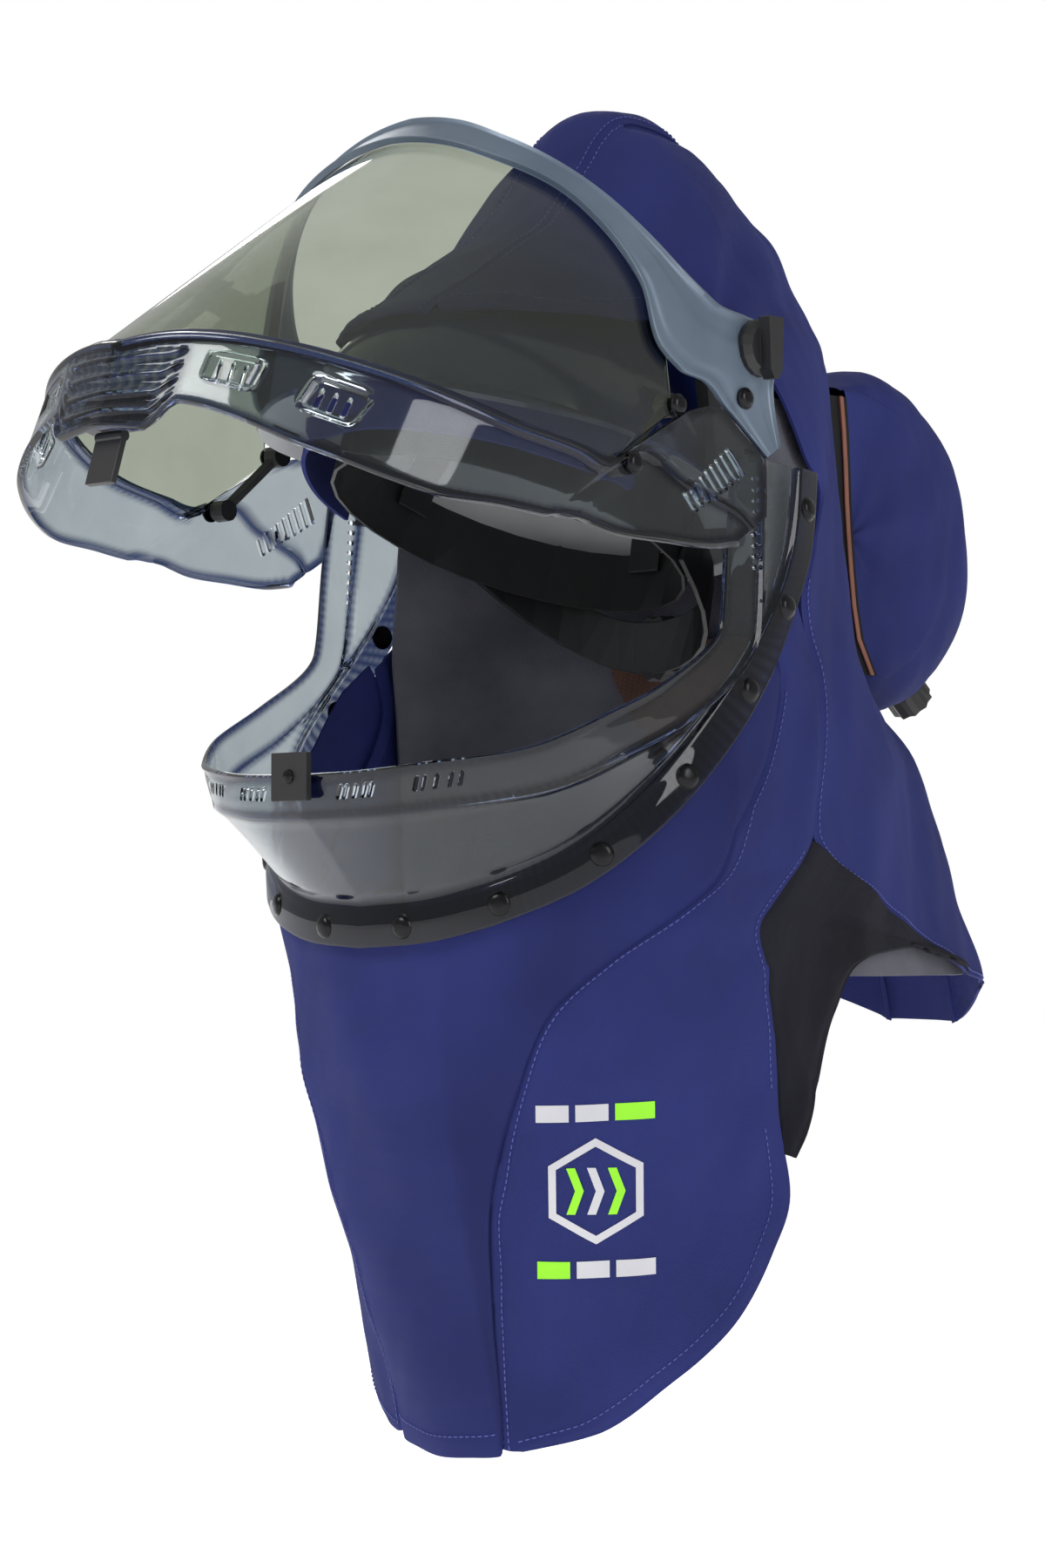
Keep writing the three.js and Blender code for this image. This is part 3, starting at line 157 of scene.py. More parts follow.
def clearLook(name, tint, rough, smoke=None, wear=1, rim=None, **fixed):
    look = Look(name, Transmission_Weight=1.0, IOR=1.46, **fixed)
    haze = look.noise(22, detail=4)
    colour = look.ramp(haze, 0.25, 0.8, smoke or tint, tint)
    # rim is a painted shade colour, mixed in where the "rim" attribute is high, darkening edges and ridges
    # for light dimming through the thick plastic
    if rim:
        near = look.add("ShaderNodeAttribute", attribute_name="rim").outputs["Fac"]
        colour = look.mixColour(near, colour, rim)
    look.set("Base Color", colour)
    look.set("Roughness", look.span(look.noise(90, detail=5, rough=0.7), rough, rough + 0.04 * wear))
    look.set("Normal", look.bump(look.noise(30, detail=2), 0.0003 * wear, 0.1))
    return look.material


navyCloth = clothLook("royal_twill", shade(45, 53, 122), shade(34, 41, 98), sheen=0.15)
knitCloth = clothLook("shoulder_knit", shade(25, 25, 38), shade(15, 15, 25), weave=420, sheen=0.18)
fleece = clothLook("dark_fleece", shade(108, 108, 117), shade(70, 70, 80), weave=260, sheen=0.5, rough=0.9)
meshCloth = clothLook("brown_mesh", shade(120, 86, 70), shade(62, 42, 36), weave=140, sheen=0.1)
leather = plasticLook("tan_leather", shade(142, 90, 72), shade(104, 62, 50), 0.62, 500, 0.0002)
hookTape = clothLook("hook_tape", shade(30, 30, 33), shade(14, 14, 16), weave=300, sheen=0.15)
thread = plasticLook("navy_thread", shade(84, 92, 168), shade(64, 70, 138), 0.55, 700, 0.0001)
blackPlastic = plasticLook("black_nylon", shade(34, 34, 36), shade(20, 20, 22), 0.42, 1300, 0.00006)
rivetBlack = plasticLook("black_rivet", shade(30, 30, 34), shade(14, 14, 16), 0.22, 900, 0.00002,
                         Metallic=0.6)
bracketGrey = plasticLook("slate_nylon", shade(112, 126, 142), shade(88, 102, 118), 0.34, 1500, 0.00005,
                          Metallic=0.25)
navyGloss = plasticLook("hat_gloss", shade(30, 44, 96), shade(22, 32, 76), 0.16, 500, 0.00002,
                        Coat_Weight=0.6)
hatWhite = plasticLook("hat_inner", shade(206, 208, 206), shade(178, 180, 180), 0.5, 700, 0.00006)
lensClear = clearLook("green_window", shade(172, 179, 164), 0.0, shade(160, 168, 152), 0)
# The smoked plastic's rim colour is painted shade on its edges, ridges and flange
smoked = clearLook("smoked_navy", shade(176, 185, 188), 0.02, shade(156, 167, 174), rim=shade(30, 42, 80))
printSilver = plasticLook("print_silver", shade(214, 214, 218), shade(192, 192, 198), 0.5, 700, 0.0001)
printLime = plasticLook("print_lime", shade(160, 246, 40), shade(140, 226, 26), 0.55, 700, 0.0001)
print("materials made")


# Mesh helpers
def deselect():
    if bpy.context.object and bpy.context.object.mode != "OBJECT":
        bpy.ops.object.mode_set(mode="OBJECT")
    bpy.ops.object.select_all(action="DESELECT")


def pickOnly(piece):
    deselect()
    piece.select_set(True)
    bpy.context.view_layer.objects.active = piece


def modify(piece, kind, **settings):
    pickOnly(piece)
    modifier = piece.modifiers.new(kind.lower(), kind)
    for key, value in settings.items():
        setattr(modifier, key, value)
    bpy.ops.object.modifier_apply(modifier=modifier.name)


def finishPiece(piece, name, material, body, stands=(), smooth=40):
    pickOnly(piece)
    bpy.ops.object.transform_apply(location=True, rotation=True, scale=True)
    if smooth:
        bpy.ops.object.shade_smooth_by_angle(angle=math.radians(smooth))
    piece.name = name
    piece.data.name = name
    for one in (material if isinstance(material, (list, tuple)) else [material]):
        piece.data.materials.append(one)
    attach(piece, body)
    if stands:
        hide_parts(*stands)
    return piece


def arcs(points, axis):
    length = np.linalg.norm(np.diff(points, axis=axis), axis=2)
    first = np.zeros_like(np.take(length, [0], axis=axis))
    return np.cumsum(np.concatenate([first, length], axis=axis), axis=axis)


# A sheet of points in millimetres, made on a grid primitive, with its UV in metres along the surface
def gridPiece(points, centre, wall=0.0, bevel=0.0, seam=False):
    rows, columns = points.shape[:2]
    deselect()
    bpy.ops.mesh.primitive_grid_add(x_subdivisions=columns - 1, y_subdivisions=rows - 1, size=1)
    piece = bpy.context.object
    mesh = piece.data
    flat = points.reshape(-1, 3)
    mesh.vertices.foreach_set("co", (flat / 1000).astype(np.float32).ravel())
    across, down = arcs(points, 1), arcs(points, 0)
    place = np.stack([across, down], axis=2).reshape(-1, 2) / 1000
    corner = np.zeros(len(mesh.loops), np.int32)
    mesh.loops.foreach_get("vertex_index", corner)
    mesh.uv_layers[0].data.foreach_set("uv", place[corner].astype(np.float32).ravel())
    mesh.update()
    normals = np.zeros(len(mesh.polygons) * 3, np.float32)
    middles = np.zeros(len(mesh.polygons) * 3, np.float32)
    mesh.polygons.foreach_get("normal", normals)
    mesh.polygons.foreach_get("center", middles)
    outward = middles.reshape(-1, 3) - np.asarray(centre, float) / 1000
    if (outward * normals.reshape(-1, 3)).sum() < 0:
        bpy.ops.object.mode_set(mode="EDIT")
        bpy.ops.mesh.select_all(action="SELECT")
        bpy.ops.mesh.flip_normals()
        bpy.ops.object.mode_set(mode="OBJECT")
    if seam:
        bpy.ops.object.mode_set(mode="EDIT")
        bpy.ops.mesh.select_all(action="SELECT")
        bpy.ops.mesh.remove_doubles(threshold=1e-5)
        bpy.ops.object.mode_set(mode="OBJECT")
    if wall:
        modify(piece, "SOLIDIFY", thickness=wall / 1000, offset=-1, use_even_offset=False)
    if bevel:
        modify(piece, "BEVEL", width=bevel / 1000, segments=2, limit_method="ANGLE",
               angle_limit=math.radians(62))
    return piece


# Smooth curve through a table, without overshoot
def curveThrough(xs, ys, count=1500):
    xs, ys = np.array(xs, float), np.array(ys, float)
    rise = np.diff(ys) / np.diff(xs)
    slope = np.empty_like(xs)
    slope[0], slope[-1] = rise[0], rise[-1]
    before, after = rise[:-1], rise[1:]
    total = np.where(before + after == 0, 1, before + after)
    slope[1:-1] = np.where(before * after <= 0, 0, 2 * before * after / total)
    q = np.linspace(xs[0], xs[-1], count)
    i = np.clip(np.searchsorted(xs, q, side="right") - 1, 0, len(xs) - 2)
    width = xs[i + 1] - xs[i]
    t = (q - xs[i]) / width
    s = 1 - t
    y = ys[i] * (1 + 2 * t) * s * s + slope[i] * width * t * s * s
    y += ys[i + 1] * t * t * (3 - 2 * t) - slope[i + 1] * width * t * t * s
    return lambda at: np.interp(at, q, y)


def smoothstep(x, a, b):
    t = np.clip((x - a) / (b - a), 0, 1)
    return t * t * (3 - 2 * t)


def stack(*parts):
    return np.stack(np.broadcast_arrays(*parts), axis=-1)


def unit(v):
    return v / np.maximum(np.linalg.norm(v, axis=-1, keepdims=True), 1e-9)


# Normals of a grid of points, turned away from a centre
def gridNormals(points, centre):
    n = unit(np.cross(np.gradient(points, axis=0), np.gradient(points, axis=1)))
    if ((points - centre) * n).sum() < 0:
        n = -n
    return n


# The hood's form, as in the solids
hood = {"half": 138, "deep": 200, "drop": 460, "rise": 204, "foot": 0.69277, "strip": 25}
hoodRows = [
    (0, 0.928, 0.775, -0.248, 1.78, 2), (0.098, 0.942, 0.635, -0.33, 1.72, 2),
    (0.253, 0.964, 0.375, -0.455, 1.64, 2),
    (0.301, 0.971, 0.26, -0.482, 1.61, 2), (0.351, 0.975, 0.14, -0.478, 1.57, 2),
    (0.398, 0.978, 0.03, -0.493, 1.48, 2),
    (0.453, 0.985, 0.03, -0.495, 1.39, 2), (0.511, 0.982, 0.04, -0.495, 1.265, 2),
    (0.542, 0.98, 0.045, -0.498, 1.15, 2),
    (0.566, 0.978, 0.05, -0.5, 1.055, 2), (0.602, 0.971, 0.06, -0.51, 0.955, 2),
    (0.648, 0.964, 0.07, -0.52, 0.92, 2),
    (0.723, 0.928, 0.1, -0.53, 0.9, 2), (0.783, 0.85, 0.14, -0.517, 0.9, 2),
    (0.819, 0.765, 0.18, -0.435, 0.91, 1.9),
    (0.839, 0.7, 0.2, -0.34, 0.905, 1.85), (0.896, 0.58, 0.24, -0.044, 0.81, 1.85),
    (0.941, 0.41, 0.27, 0.085, 0.687, 1.9),
    (0.979, 0.21, 0.29, 0.167, 0.5, 2), (0.994, 0.11, 0.3, 0.235, 0.41, 2), (1, 0.01, 0.3, 0.295, 0.305, 2)]
hoodCurves = [curveThrough([r[0] for r in hoodRows], [r[k] for r in hoodRows]) for k in range(1, 6)]


def section(z):
    foot = hood["foot"]
    at = np.where(z < 0, foot * (1 + z / hood["drop"]), foot + (1 - foot) * z / hood["rise"])
    half, middle, front, back, power = (curve(at) for curve in hoodCurves)
    return half * hood["half"], middle * hood["deep"], front * hood["deep"], back * hood["deep"], power


def outsideOf(p):
    half, middle, front, back, power = section(p[..., 2])
    reach = np.where(p[..., 1] < middle, middle - front, back - middle)
    over = np.maximum(0, p[..., 2] - 203.2)  # the crown is closed above its top
    return (np.abs(p[..., 0]) / half) ** power + (np.abs(p[..., 1] - middle) / reach) ** power - 1 + over


def hoodNormal(p, step=0.5):
    parts = []
    for axis in range(3):
        shift = np.zeros(3)
        shift[axis] = step
        parts.append(outsideOf(p + shift) - outsideOf(p - shift))
    return unit(stack(*parts))


def hoodPoint(angle, z):
    half, middle, front, back, power = section(z)
    side, ahead = np.sin(np.radians(angle)), np.cos(np.radians(angle))
    reach = np.where(ahead > 0, middle - front, back - middle)
    return stack(half * np.sign(side) * np.abs(side) ** (2 / power),
                 middle - reach * np.sign(ahead) * np.abs(ahead) ** (2 / power), z)


def leaves(start, direction, far=420.0):
    near, away = np.zeros(start.shape[:-1]), np.full(start.shape[:-1], far)
    for _ in range(26):
        middle = (near + away) / 2
        inside = outsideOf(start + direction * middle[..., None]) < 0
        near, away = np.where(inside, middle, near), np.where(inside, away, middle)
    return start + direction * near[..., None]


waves = [(unit(rng.normal(size=3) * np.array([1, 1, 0.45])), 2 * math.pi / rng.uniform(24, 75),
          rng.uniform(0, 6.3), rng.uniform(0.10, 0.34)) for _ in range(22)]

# Soft folds: from the knobs over the crown, long waves in the bib and skirt, and small random ones
def fold(p, fine=1.0):
    x, y, z = p[..., 0], p[..., 1], p[..., 2]
    crown = smoothstep(z, 60, 120) * (1 - smoothstep(z, 175, 198))
    turn = np.degrees(np.arctan2(z - 64, y - 15.2))
    sideways = smoothstep(np.abs(x), hood["strip"], 2 * hood["strip"])
    skirt = 1 - smoothstep(z, -430, -300)
    height = 2.4 * crown * sideways * np.sin(np.radians(turn * 360 / 56.55))
    height += 2.6 * skirt * np.sin(np.arctan2(x, hood["deep"] / 2 - y) * 7 + 0.6)
    spread = smoothstep(z, 20, 90) * (1 - smoothstep(z, 150, 196)) * sideways
    height += fine * 1.1 * spread * np.sin(turn / 4.1 + 0.8 * np.sin(z / 23))
    drape = (1 - smoothstep(z, -60, 20)) * smoothstep(y, 60, 150)
    height += fine * 2.0 * drape * np.sin(np.arctan2(x, y - 40) * 9 + z / 95 + 0.5)
    front = (1 - smoothstep(z, -260, -200)) * (1 - smoothstep(y, 0, 90))
    height += fine * 0.9 * front * np.sin((x * 0.8 + z * 0.45) / 17 + 1.6 * np.sin(z / 61 + x / 70))
    for direction, rate, phase, size in waves:
        along = p @ direction
        height += fine * size * np.sin(along * rate + phase + 1.3 * np.sin(along * rate * 0.37 + z / 80))
    return height


# Cloth panels
cloth = {"wall": 1.6, "tuck": 1.1, "tuckWide": 3.0, "rows": 130, "across": 56}
centreRows = [
    (0, -0.424, 0, -0.977), (8, -0.422, 9, -0.974), (16, -0.418, 16, -0.97), (24, -0.411, 19, -0.839),
    (32, -0.401, 22, -0.733), (40, -0.388, 28, -0.643), (47, -0.373, 32, -0.6), (56, -0.347, 39, -0.53),
    (64, -0.316, 52, -0.478), (71, -0.284, 72, -0.428), (79, -0.243, 85, -0.385), (86, -0.202, 90, -0.341),
    (91, -0.174, 95, -0.27), (95, -0.15, 99, -0.19)]
bibRows = [
    (16.5, -0.965, 20, -0.967), (17.5, -0.902, 34, -0.952), (19, -0.839, 50, -0.89),
    (20.5, -0.786, 62, -0.828),
    (22, -0.733, 70, -0.77), (25, -0.688, 76, -0.712), (28, -0.643, 79, -0.63), (32, -0.6, 87, -0.535),
    (39, -0.53, 91, -0.483), (52, -0.478, 93, -0.441), (72, -0.428, 97, -0.4), (85, -0.385, 100, -0.374),
    (90, -0.341, 102.7, -0.343), (95, -0.27, 105.2, -0.261), (99, -0.19, 108.7, -0.17),
    (97.5, -0.143, 104, -0.103)]
gussetRows = [
    (102.5, -0.352, 103.6, -0.354), (100, -0.378, 119.2, -0.43), (97, -0.404, 136.7, -0.491),
    (93, -0.441, 122, -0.461),
    (91, -0.483, 107, -0.474), (87, -0.535, 98, -0.528), (82.5, -0.593, 90, -0.598),
    (77.5, -0.67, 79.5, -0.674)]
sideRows = [
    (0.43, 0, 17, 0.412), (0.56, 0, 35, 0.407), (0.735, 0, 60, 0.402), (0.873, 0, 80, 0.397),
    (0.931, 0, 95, 0.382),
    (0.882, 1, 103, 0.245), (0.784, 1, 110, 0.108), (0.637, 1, 117, 0.02), (0.441, 1, 111.5, -0.0457),
    (0.245, 1, 106.5, -0.1042), (0, 1, 109, -0.1707), (-0.1087, 1, 105.5, -0.2612),
    (-0.2067, 1, 103, -0.3437),
    (-0.326, 1, 119.5, -0.4306), (-0.4346, 1, 137, -0.4923), (-0.55, 1, 151, -0.507)]


def stripAngle(z, back):
    half, _, _, _, power = section(np.array(z, float))
    angle = math.degrees(math.asin(min(1, float((hood["strip"] / half) ** (power / 2)))))
    return 180 - angle if back else angle


def sideEdges():
    height = lambda share: share * (hood["drop"] if share < 0 else hood["rise"])
    return [(stripAngle(height(a), b), height(a), c, height(d)) for a, b, c, d in sideRows]


def bibEdges(rows):
    return [(a, b * hood["drop"], c, d * hood["drop"]) for a, b, c, d in rows]


# Edge angles and heights of a panel, smooth from row to row
def panelPlaces(rows, count):
    spot = np.linspace(0, len(rows) - 1, count)
    index = np.arange(len(rows))
    return [curveThrough(index, [row[k] for row in rows], 3000)(spot) for k in range(4)]


# lapA and lapB are how far an edge runs under or over its neighbour; one over 2 runs under it.
# With inner, the first edge runs on until it is that near the middle plane
def panelPoints(rows, side, settings, lapA=0.9, lapB=0.9, fine=1.0, inner=None):
    a, az, b, bz = (v[:, None] for v in panelPlaces(rows, settings["rows"]))
    if inner:
        lapA = lapA + np.maximum(0, np.abs(hoodPoint(a, az)[..., 0]) - inner) * 1.5
    u = np.linspace(0, 1, settings["across"])[None, :]
    length = np.linalg.norm(hoodPoint(a, az) - hoodPoint(b, bz), axis=-1) + 1e-3
    growA, growB = (np.minimum(0.25 if np.max(lap) < 5 else 0.9, lap / length) for lap in (lapA, lapB))
    u = -growA + (1 + growA + growB) * u
    p = hoodPoint(a + (b - a) * u, az + (bz - az) * u)
    n = hoodNormal(p)
    fromA = np.abs(u) * length
    fromB = np.abs(1 - u) * length
    groove = 0
    for lap, away, beyond in ((lapA, fromA, u < 0), (lapB, fromB, u > 1)):
        if np.any(lap):
            groove = groove + settings["tuck"] * np.where(beyond, 1.0 + (lap > 2) * 1.0,
                                                          np.exp(-(away / settings["tuckWide"]) ** 2))
    mirror = np.array([side, 1, 1])
    p = p + n * (fold(p * mirror, fine) - groove)[..., None]
    return p * mirror


def clothPiece(name, points, material, stands, flat, area=None, held="gathered", wall=None,
               rests=("hat_shell",)):
    piece = gridPiece(points, (0, 60, float(points[..., 2].mean())), wall or cloth["wall"])
    finishPiece(piece, name, material, "hood", stands, 50)
    return piece


def areaOf(points):
    p = points
    one = np.cross(p[1:, :-1] - p[:-1, :-1], p[:-1, 1:] - p[:-1, :-1])
    two = np.cross(p[1:, :-1] - p[1:, 1:], p[:-1, 1:] - p[1:, 1:])
    return (np.linalg.norm(one, axis=2).sum() + np.linalg.norm(two, axis=2).sum()) / 2e6


def report(name, points):
    wide = np.linalg.norm(np.diff(points, axis=1), axis=2).sum(axis=1).max() / 1000
    long = np.linalg.norm(np.diff(points, axis=0), axis=2).sum(axis=0).max() / 1000
    print("cut", name, round(wide, 3), round(long, 3), "area", round(areaOf(points), 4))


# Flat cuts in metres: width, length and area
cuts = {
    "bib_centre": ((0.46, 0.263), 0.0507), "side_left": ((0.223, 0.713), 0.0822),
    "side_right": ((0.223, 0.713), 0.0822),
    "bib_left": ((0.2, 0.4), 0.0325), "bib_right": ((0.2, 0.4), 0.0325), "gusset_left": ((0.2, 0.12), 0.0086),
    "gusset_right": ((0.2, 0.12), 0.0086), "crown_strip": ((0.051, 0.859), 0.0394),
    "lining": ((0.585, 0.285), 0.1365),
    "mesh_panel": ((0.182, 0.06), 0.0097), "brow_band": ((0.291, 0.027), 0.0078)}


def addCloth():
    centre = bibEdges(centreRows)
    mirrored = [(-a, b, -c, d) for a, b, c, d in centre[:0:-1]]
    grids = {"bib_centre": (panelPoints(mirrored + centre, 1, {**cloth, "rows": 230}, 0, 0.9), navyCloth)}
    for name, side in (("left", 1), ("right", -1)):
        grids["side_" + name] = (panelPoints(sideEdges(), side, {**cloth, "rows": 220, "across": 90},
                                             inner=24.0), navyCloth)
        grids["bib_" + name] = (panelPoints(bibEdges(bibRows), side, {**cloth, "across": 64}, 7), navyCloth)
        grids["gusset_" + name] = (panelPoints(bibEdges(gussetRows), side,
                                               {**cloth, "rows": 90, "across": 30}, 3, 3), knitCloth)
    turns = np.concatenate([np.linspace(14, 180, 150), np.full(60, 180.0)])
    levels = np.concatenate([np.full(150, 50.0), np.linspace(50, -0.55 * 460, 61)[1:]])
    x = np.linspace(-25.5, 25.5, 24)
    start = stack(x[None, :], np.full((210, 24), 45.0), levels[:, None])
    ray = stack(np.zeros((210, 24)), -np.cos(np.radians(turns))[:, None], np.sin(np.radians(turns))[:, None])
    p = leaves(start, ray)
    groove = cloth["tuck"] * np.exp(-((25.5 - np.abs(x)) / cloth["tuckWide"]) ** 2)[None, :]
    grids["crown_strip"] = (p + hoodNormal(p) * (fold(p) - groove)[..., None], navyCloth)
    made = {}
    for name, (points, material) in grids.items():
        report(name, points)
        flat, area = cuts[name]
        made[name] = clothPiece(name + "_cloth", points, material, [name], flat, area)
    return made, {k: v[0] for k, v in grids.items()}


clothPieces, clothGrids = addCloth()
print("cloth panels made")


def addLining():
    angle = np.linspace(98, 262, 120)[:, None]
    z = np.linspace(51, -225.4, 70)[None, :]
    p = hoodPoint(angle + 0 * z, z + 0 * angle)
    p = p + hoodNormal(p) * (fold(p, 0.6) - 7.9)[..., None]
    p = p + hoodNormal(p) * (0.8 * np.sin(p[..., 2] / 9 + 2 * np.sin(angle / 13)))[..., None]
    report("lining", p)
    clothPiece("lining_cloth", p, fleece, ["lining"], *cuts["lining"], wall=1.6)
    angle = np.linspace(142, 218, 60)[:, None]
    z = np.linspace(-50, -92, 24)[None, :]
    p = hoodPoint(angle + 0 * z, z + 0 * angle)
    p = p - hoodNormal(p) * 10.6
    report("mesh", p)
    clothPiece("mesh_cloth", p, meshCloth, ["mesh_panel"], *cuts["mesh_panel"], wall=1.4)


addLining()

# Hat shell and brow band
hat = {"half": 104, "front": 120, "back": 116, "high": 110, "tilt": 18.4, "y": 8, "z": 14, "lip": 5,
       "peak": 20, "wall": 2.4}

def hatFrame(x, y, up):
    turn = math.radians(hat["tilt"])
    return stack(x, hat["y"] + y * math.cos(turn) + up * math.sin(turn),
                 hat["z"] + up * math.cos(turn) - y * math.sin(turn))


def addHat():
    angle = np.radians(np.linspace(0, 360, 145))[:, None]
    side, ahead = np.sin(angle), np.cos(angle)
    reach = np.where(ahead > 0, hat["front"], hat["back"])
    rise = np.linspace(1, 0, 44)[None, :] ** 0.8
    size = np.maximum(0, 1 - rise ** 1.6) ** (1 / 1.6)
    dome = hatFrame(hat["half"] * side * size, -reach * ahead * size, hat["high"] * rise + 0 * angle)
    peak = smoothstep(ahead, 0.3, 0.8)
    out = hat["lip"] + (hat["peak"] - hat["lip"]) * peak
    share = np.linspace(0, 1, 13)[None, 1:]
    edge = hatFrame((hat["half"] + out * share) * side, -(reach + out * share) * ahead,
                    -(2 + 10 * peak) * share ** 1.3)
    points = np.concatenate([dome, edge], axis=1)
    piece = gridPiece(points, (0, 8, 0), hat["wall"], 0, seam=True)
    finishPiece(piece, "hat_shell_gloss", [navyGloss, hatWhite], "hood", ["hat_shell"], 45)
    mesh = piece.data
    centre = Vector((0, 0.008, 0.0))
    for face in mesh.polygons:
        if face.normal.dot(centre - face.center) > 0:
            face.material_index = 1
    angle = np.linspace(-77, 77, 110)[:, None]
    up = np.linspace(3, -24, 16)[None, :]
    inset = hat["wall"] + 1.6
    bulge = 1.2 * np.cos(up / 24 * math.pi) + 0.4 * np.sin(angle / 6)
    p = hatFrame((hat["half"] - inset + bulge) * np.sin(np.radians(angle)),
                 -(hat["front"] - inset + bulge) * np.cos(np.radians(angle)), up + 0 * angle)
    report("brow", p)
    clothPiece("brow_band_cloth", p, navyCloth, ["brow_band"], *cuts["brow_band"], wall=2.0)


addHat()
print("hat made")

# Painted shade on the clear plastic: each vertex gets how near it is to the given lines, from 0 to 1, and its
# colour is darkened there to stand in for light dimming through thick edges and ridges
def paintRimShade(piece, lines, reach):
    co = np.array([v.co[:] for v in piece.data.vertices]) * 1000
    spots = np.concatenate([np.asarray(line).reshape(-1, 3) for line in lines])
    near = np.concatenate([np.sqrt(((part[:, None] - spots[None]) ** 2).sum(-1).min(1))
                           for part in np.array_split(co, max(1, len(co) // 400))])
    # The "rim" attribute carries the painted shade weight
    held = piece.data.attributes.new("rim", "FLOAT", "POINT")
    held.data.foreach_set("value", (1 - smoothstep(near, reach * 0.6, reach * 1.6)).astype(np.float32))


# Chin guard
# The last two entries place the painted shade: grid columns of the top rim, belt ridge and flange, and its
# reach in millimetres
guard = {"half": 138, "reach": 144, "drop": 203, "bulge": 7, "band": 22, "up": 11, "down": 8, "wall": 2.4,
         "lift": 4.2, "shadeRims": (0, 16, 33, 36, 39, 42, 45, 48), "shadeReach": 3.4}
guardRows = [
    (0, 0, -1, -0.66, 0, -0.712, -1, 1), (1, 0.259, -0.976, -0.655, 0.243, -0.69, -0.99, 1),
    (2, 0.5, -0.905, -0.64, 0.471, -0.625, -0.961, 1), (3, 0.777, -0.738, -0.611, 0.739, -0.471, -0.882, 0.9),
    (4, 0.94, -0.534, -0.537, 0.908, -0.278, -0.747, 0.75),
    (5, 0.99, -0.292, -0.453, 0.989, -0.073, -0.581, 0.5),
    (6, 0.995, -0.042, -0.315, 1.008, 0.215, -0.335, 0.35),
    (7, 0.992, -0.014, -0.123, 1.012, 0.417, -0.113, 0.35),
    (8, 0.986, 0.014, 0.074, 1.002, 0.5, 0.059, 0.35)]
guardCurves = [curveThrough([r[0] for r in guardRows], [r[k] for r in guardRows]) for k in range(1, 8)]


def guardRail(at, first):
    side = np.sign(at)
    x, y, z = (guardCurves[first + k](np.abs(at)) for k in range(3))
    return stack(side * x * guard["half"], y * guard["reach"], z * guard["drop"])


def seatOnHood(p):
    centre = stack(0 * p[..., 0], section(p[..., 2])[1], p[..., 2])
    ray = (p - centre) * np.array([1, 1, 0])
    face = leaves(centre, unit(ray))
    return face + hoodNormal(face) * guard["lift"]


def flangePoint(at, down):
    rim, rail = guardRail(at, 0), guardRail(at, 3)
    start = seatOnHood(rail)
    normal = hoodNormal(start)
    toRim = rim - start
    toRim = unit(toRim - normal * (toRim * normal).sum(-1, keepdims=True))
    return seatOnHood(start - toRim * down), normal, toRim


# Smooth line through columns of points
def through(points, count):
    points = [2 * points[0] - points[1], *points, 2 * points[-1] - points[-2]]
    spans = len(points) - 3
    out = []
    for q in np.linspace(0, spans, count):
        k = min(int(q), spans - 1)
        t = q - k
        a, b, c, d = points[k:k + 4]
        square, cube = 2 * a - 5 * b + 4 * c - d, 3 * b - a - 3 * c + d
        out.append(0.5 * (2 * b + (c - a) * t + square * t * t + cube * t ** 3))
    return out


def addGuard():
    at = np.linspace(-8, 8, 321)
    rim = guardRail(at, 0)
    top = flangePoint(at, -guard["up"])[0]
    middle, normal, toRim = flangePoint(at, 0)
    edge = flangePoint(at, guard["down"])[0]
    outward = unit(rim * np.array([1, 1, 0]) + np.array([0, guard["reach"] * 0.3, 0]))
    along = smoothstep(np.abs(at), 4.6, 5.4)[:, None]
    outward = unit(outward * (1 - along) + np.sign(at)[:, None] * np.array([1, 0, 0]) * along)
    fall = unit(top - rim)
    bulge = guardCurves[6](np.abs(at))[:, None] * guard["bulge"]
    belt = rim + fall * guard["band"] + outward * bulge
    waist = belt * 0.45 + top * 0.55 - outward
    upper = rim + fall * guard["band"] * 0.45 + outward * bulge * 0.62
    lines = through([rim, upper, belt, waist, top, (top + edge) / 2 + normal * 0.3, edge], 49)
    points = np.stack(lines, axis=1)
    place = np.linspace(0, 6, 49)
    crest = 1.6 * np.exp(-((place - 2.02) / 0.16) ** 2) + 1.1 * np.exp(-((place - 0.0) / 0.18) ** 2)
    crest += 1.3 * smoothstep(place, 4.0, 4.25) - 1.2 * np.exp(-((place - 3.92) / 0.12) ** 2)
    points = points + gridNormals(points, np.array([0, 20, -90.0])) * crest[None, :, None]
    piece = gridPiece(points, (0, 20, -90), guard["wall"], 0.5)
    finishPiece(piece, "chin_guard", smoked, "hood", ["shroud"], 50)
    return points


guardGrid = addGuard()
print("chin guard made")

# Visor
visor = {"topHalf": 140, "endHalf": 147, "topReach": 142, "endReach": 134, "long": 228, "shift": 5,
         "run": 1.6, "flare": 0.32, "flat": 9, "taper": 0.85, "tilt": -57, "pivot": (0, 15.2, 64)}
bracketRows = [
    (0, 9, 30), (14, 13, 32), (27, 18, 34), (42, 19, 32), (54, 19, 35), (66, 18, 42), (78, 11, 56),
    (84, -3, 52),
    (90, -17, 39), (96, -14, 36), (102, 0, 33), (108, 8, 31), (117, 17, 28)]
lensRows = [(0, 24), (14, 26), (27, 28), (42, 26), (54, 28), (66, 35), (78, 49), (84, 58), (90, 66)]
frameRows = [
    (0, 223, 229, 258), (12, 216, 222, 257), (18, 213, 219, 244), (30, 206, 212, 242), (42, 196, 202, 239),
    (54, 182, 188, 231), (72, 155, 161, 211), (84, 128, 134, 182), (90, 112, 122, 166), (92, 60, 100, 160),
    (98, 36.3, 90, 148), (106, 32.6, 84, 135), (116, 29.4, 72, 112), (125, 40, 62, 90), (130, 48, 60, 72)]


def columnOf(rows, k):
    return curveThrough([r[0] for r in rows], [r[k] for r in rows])


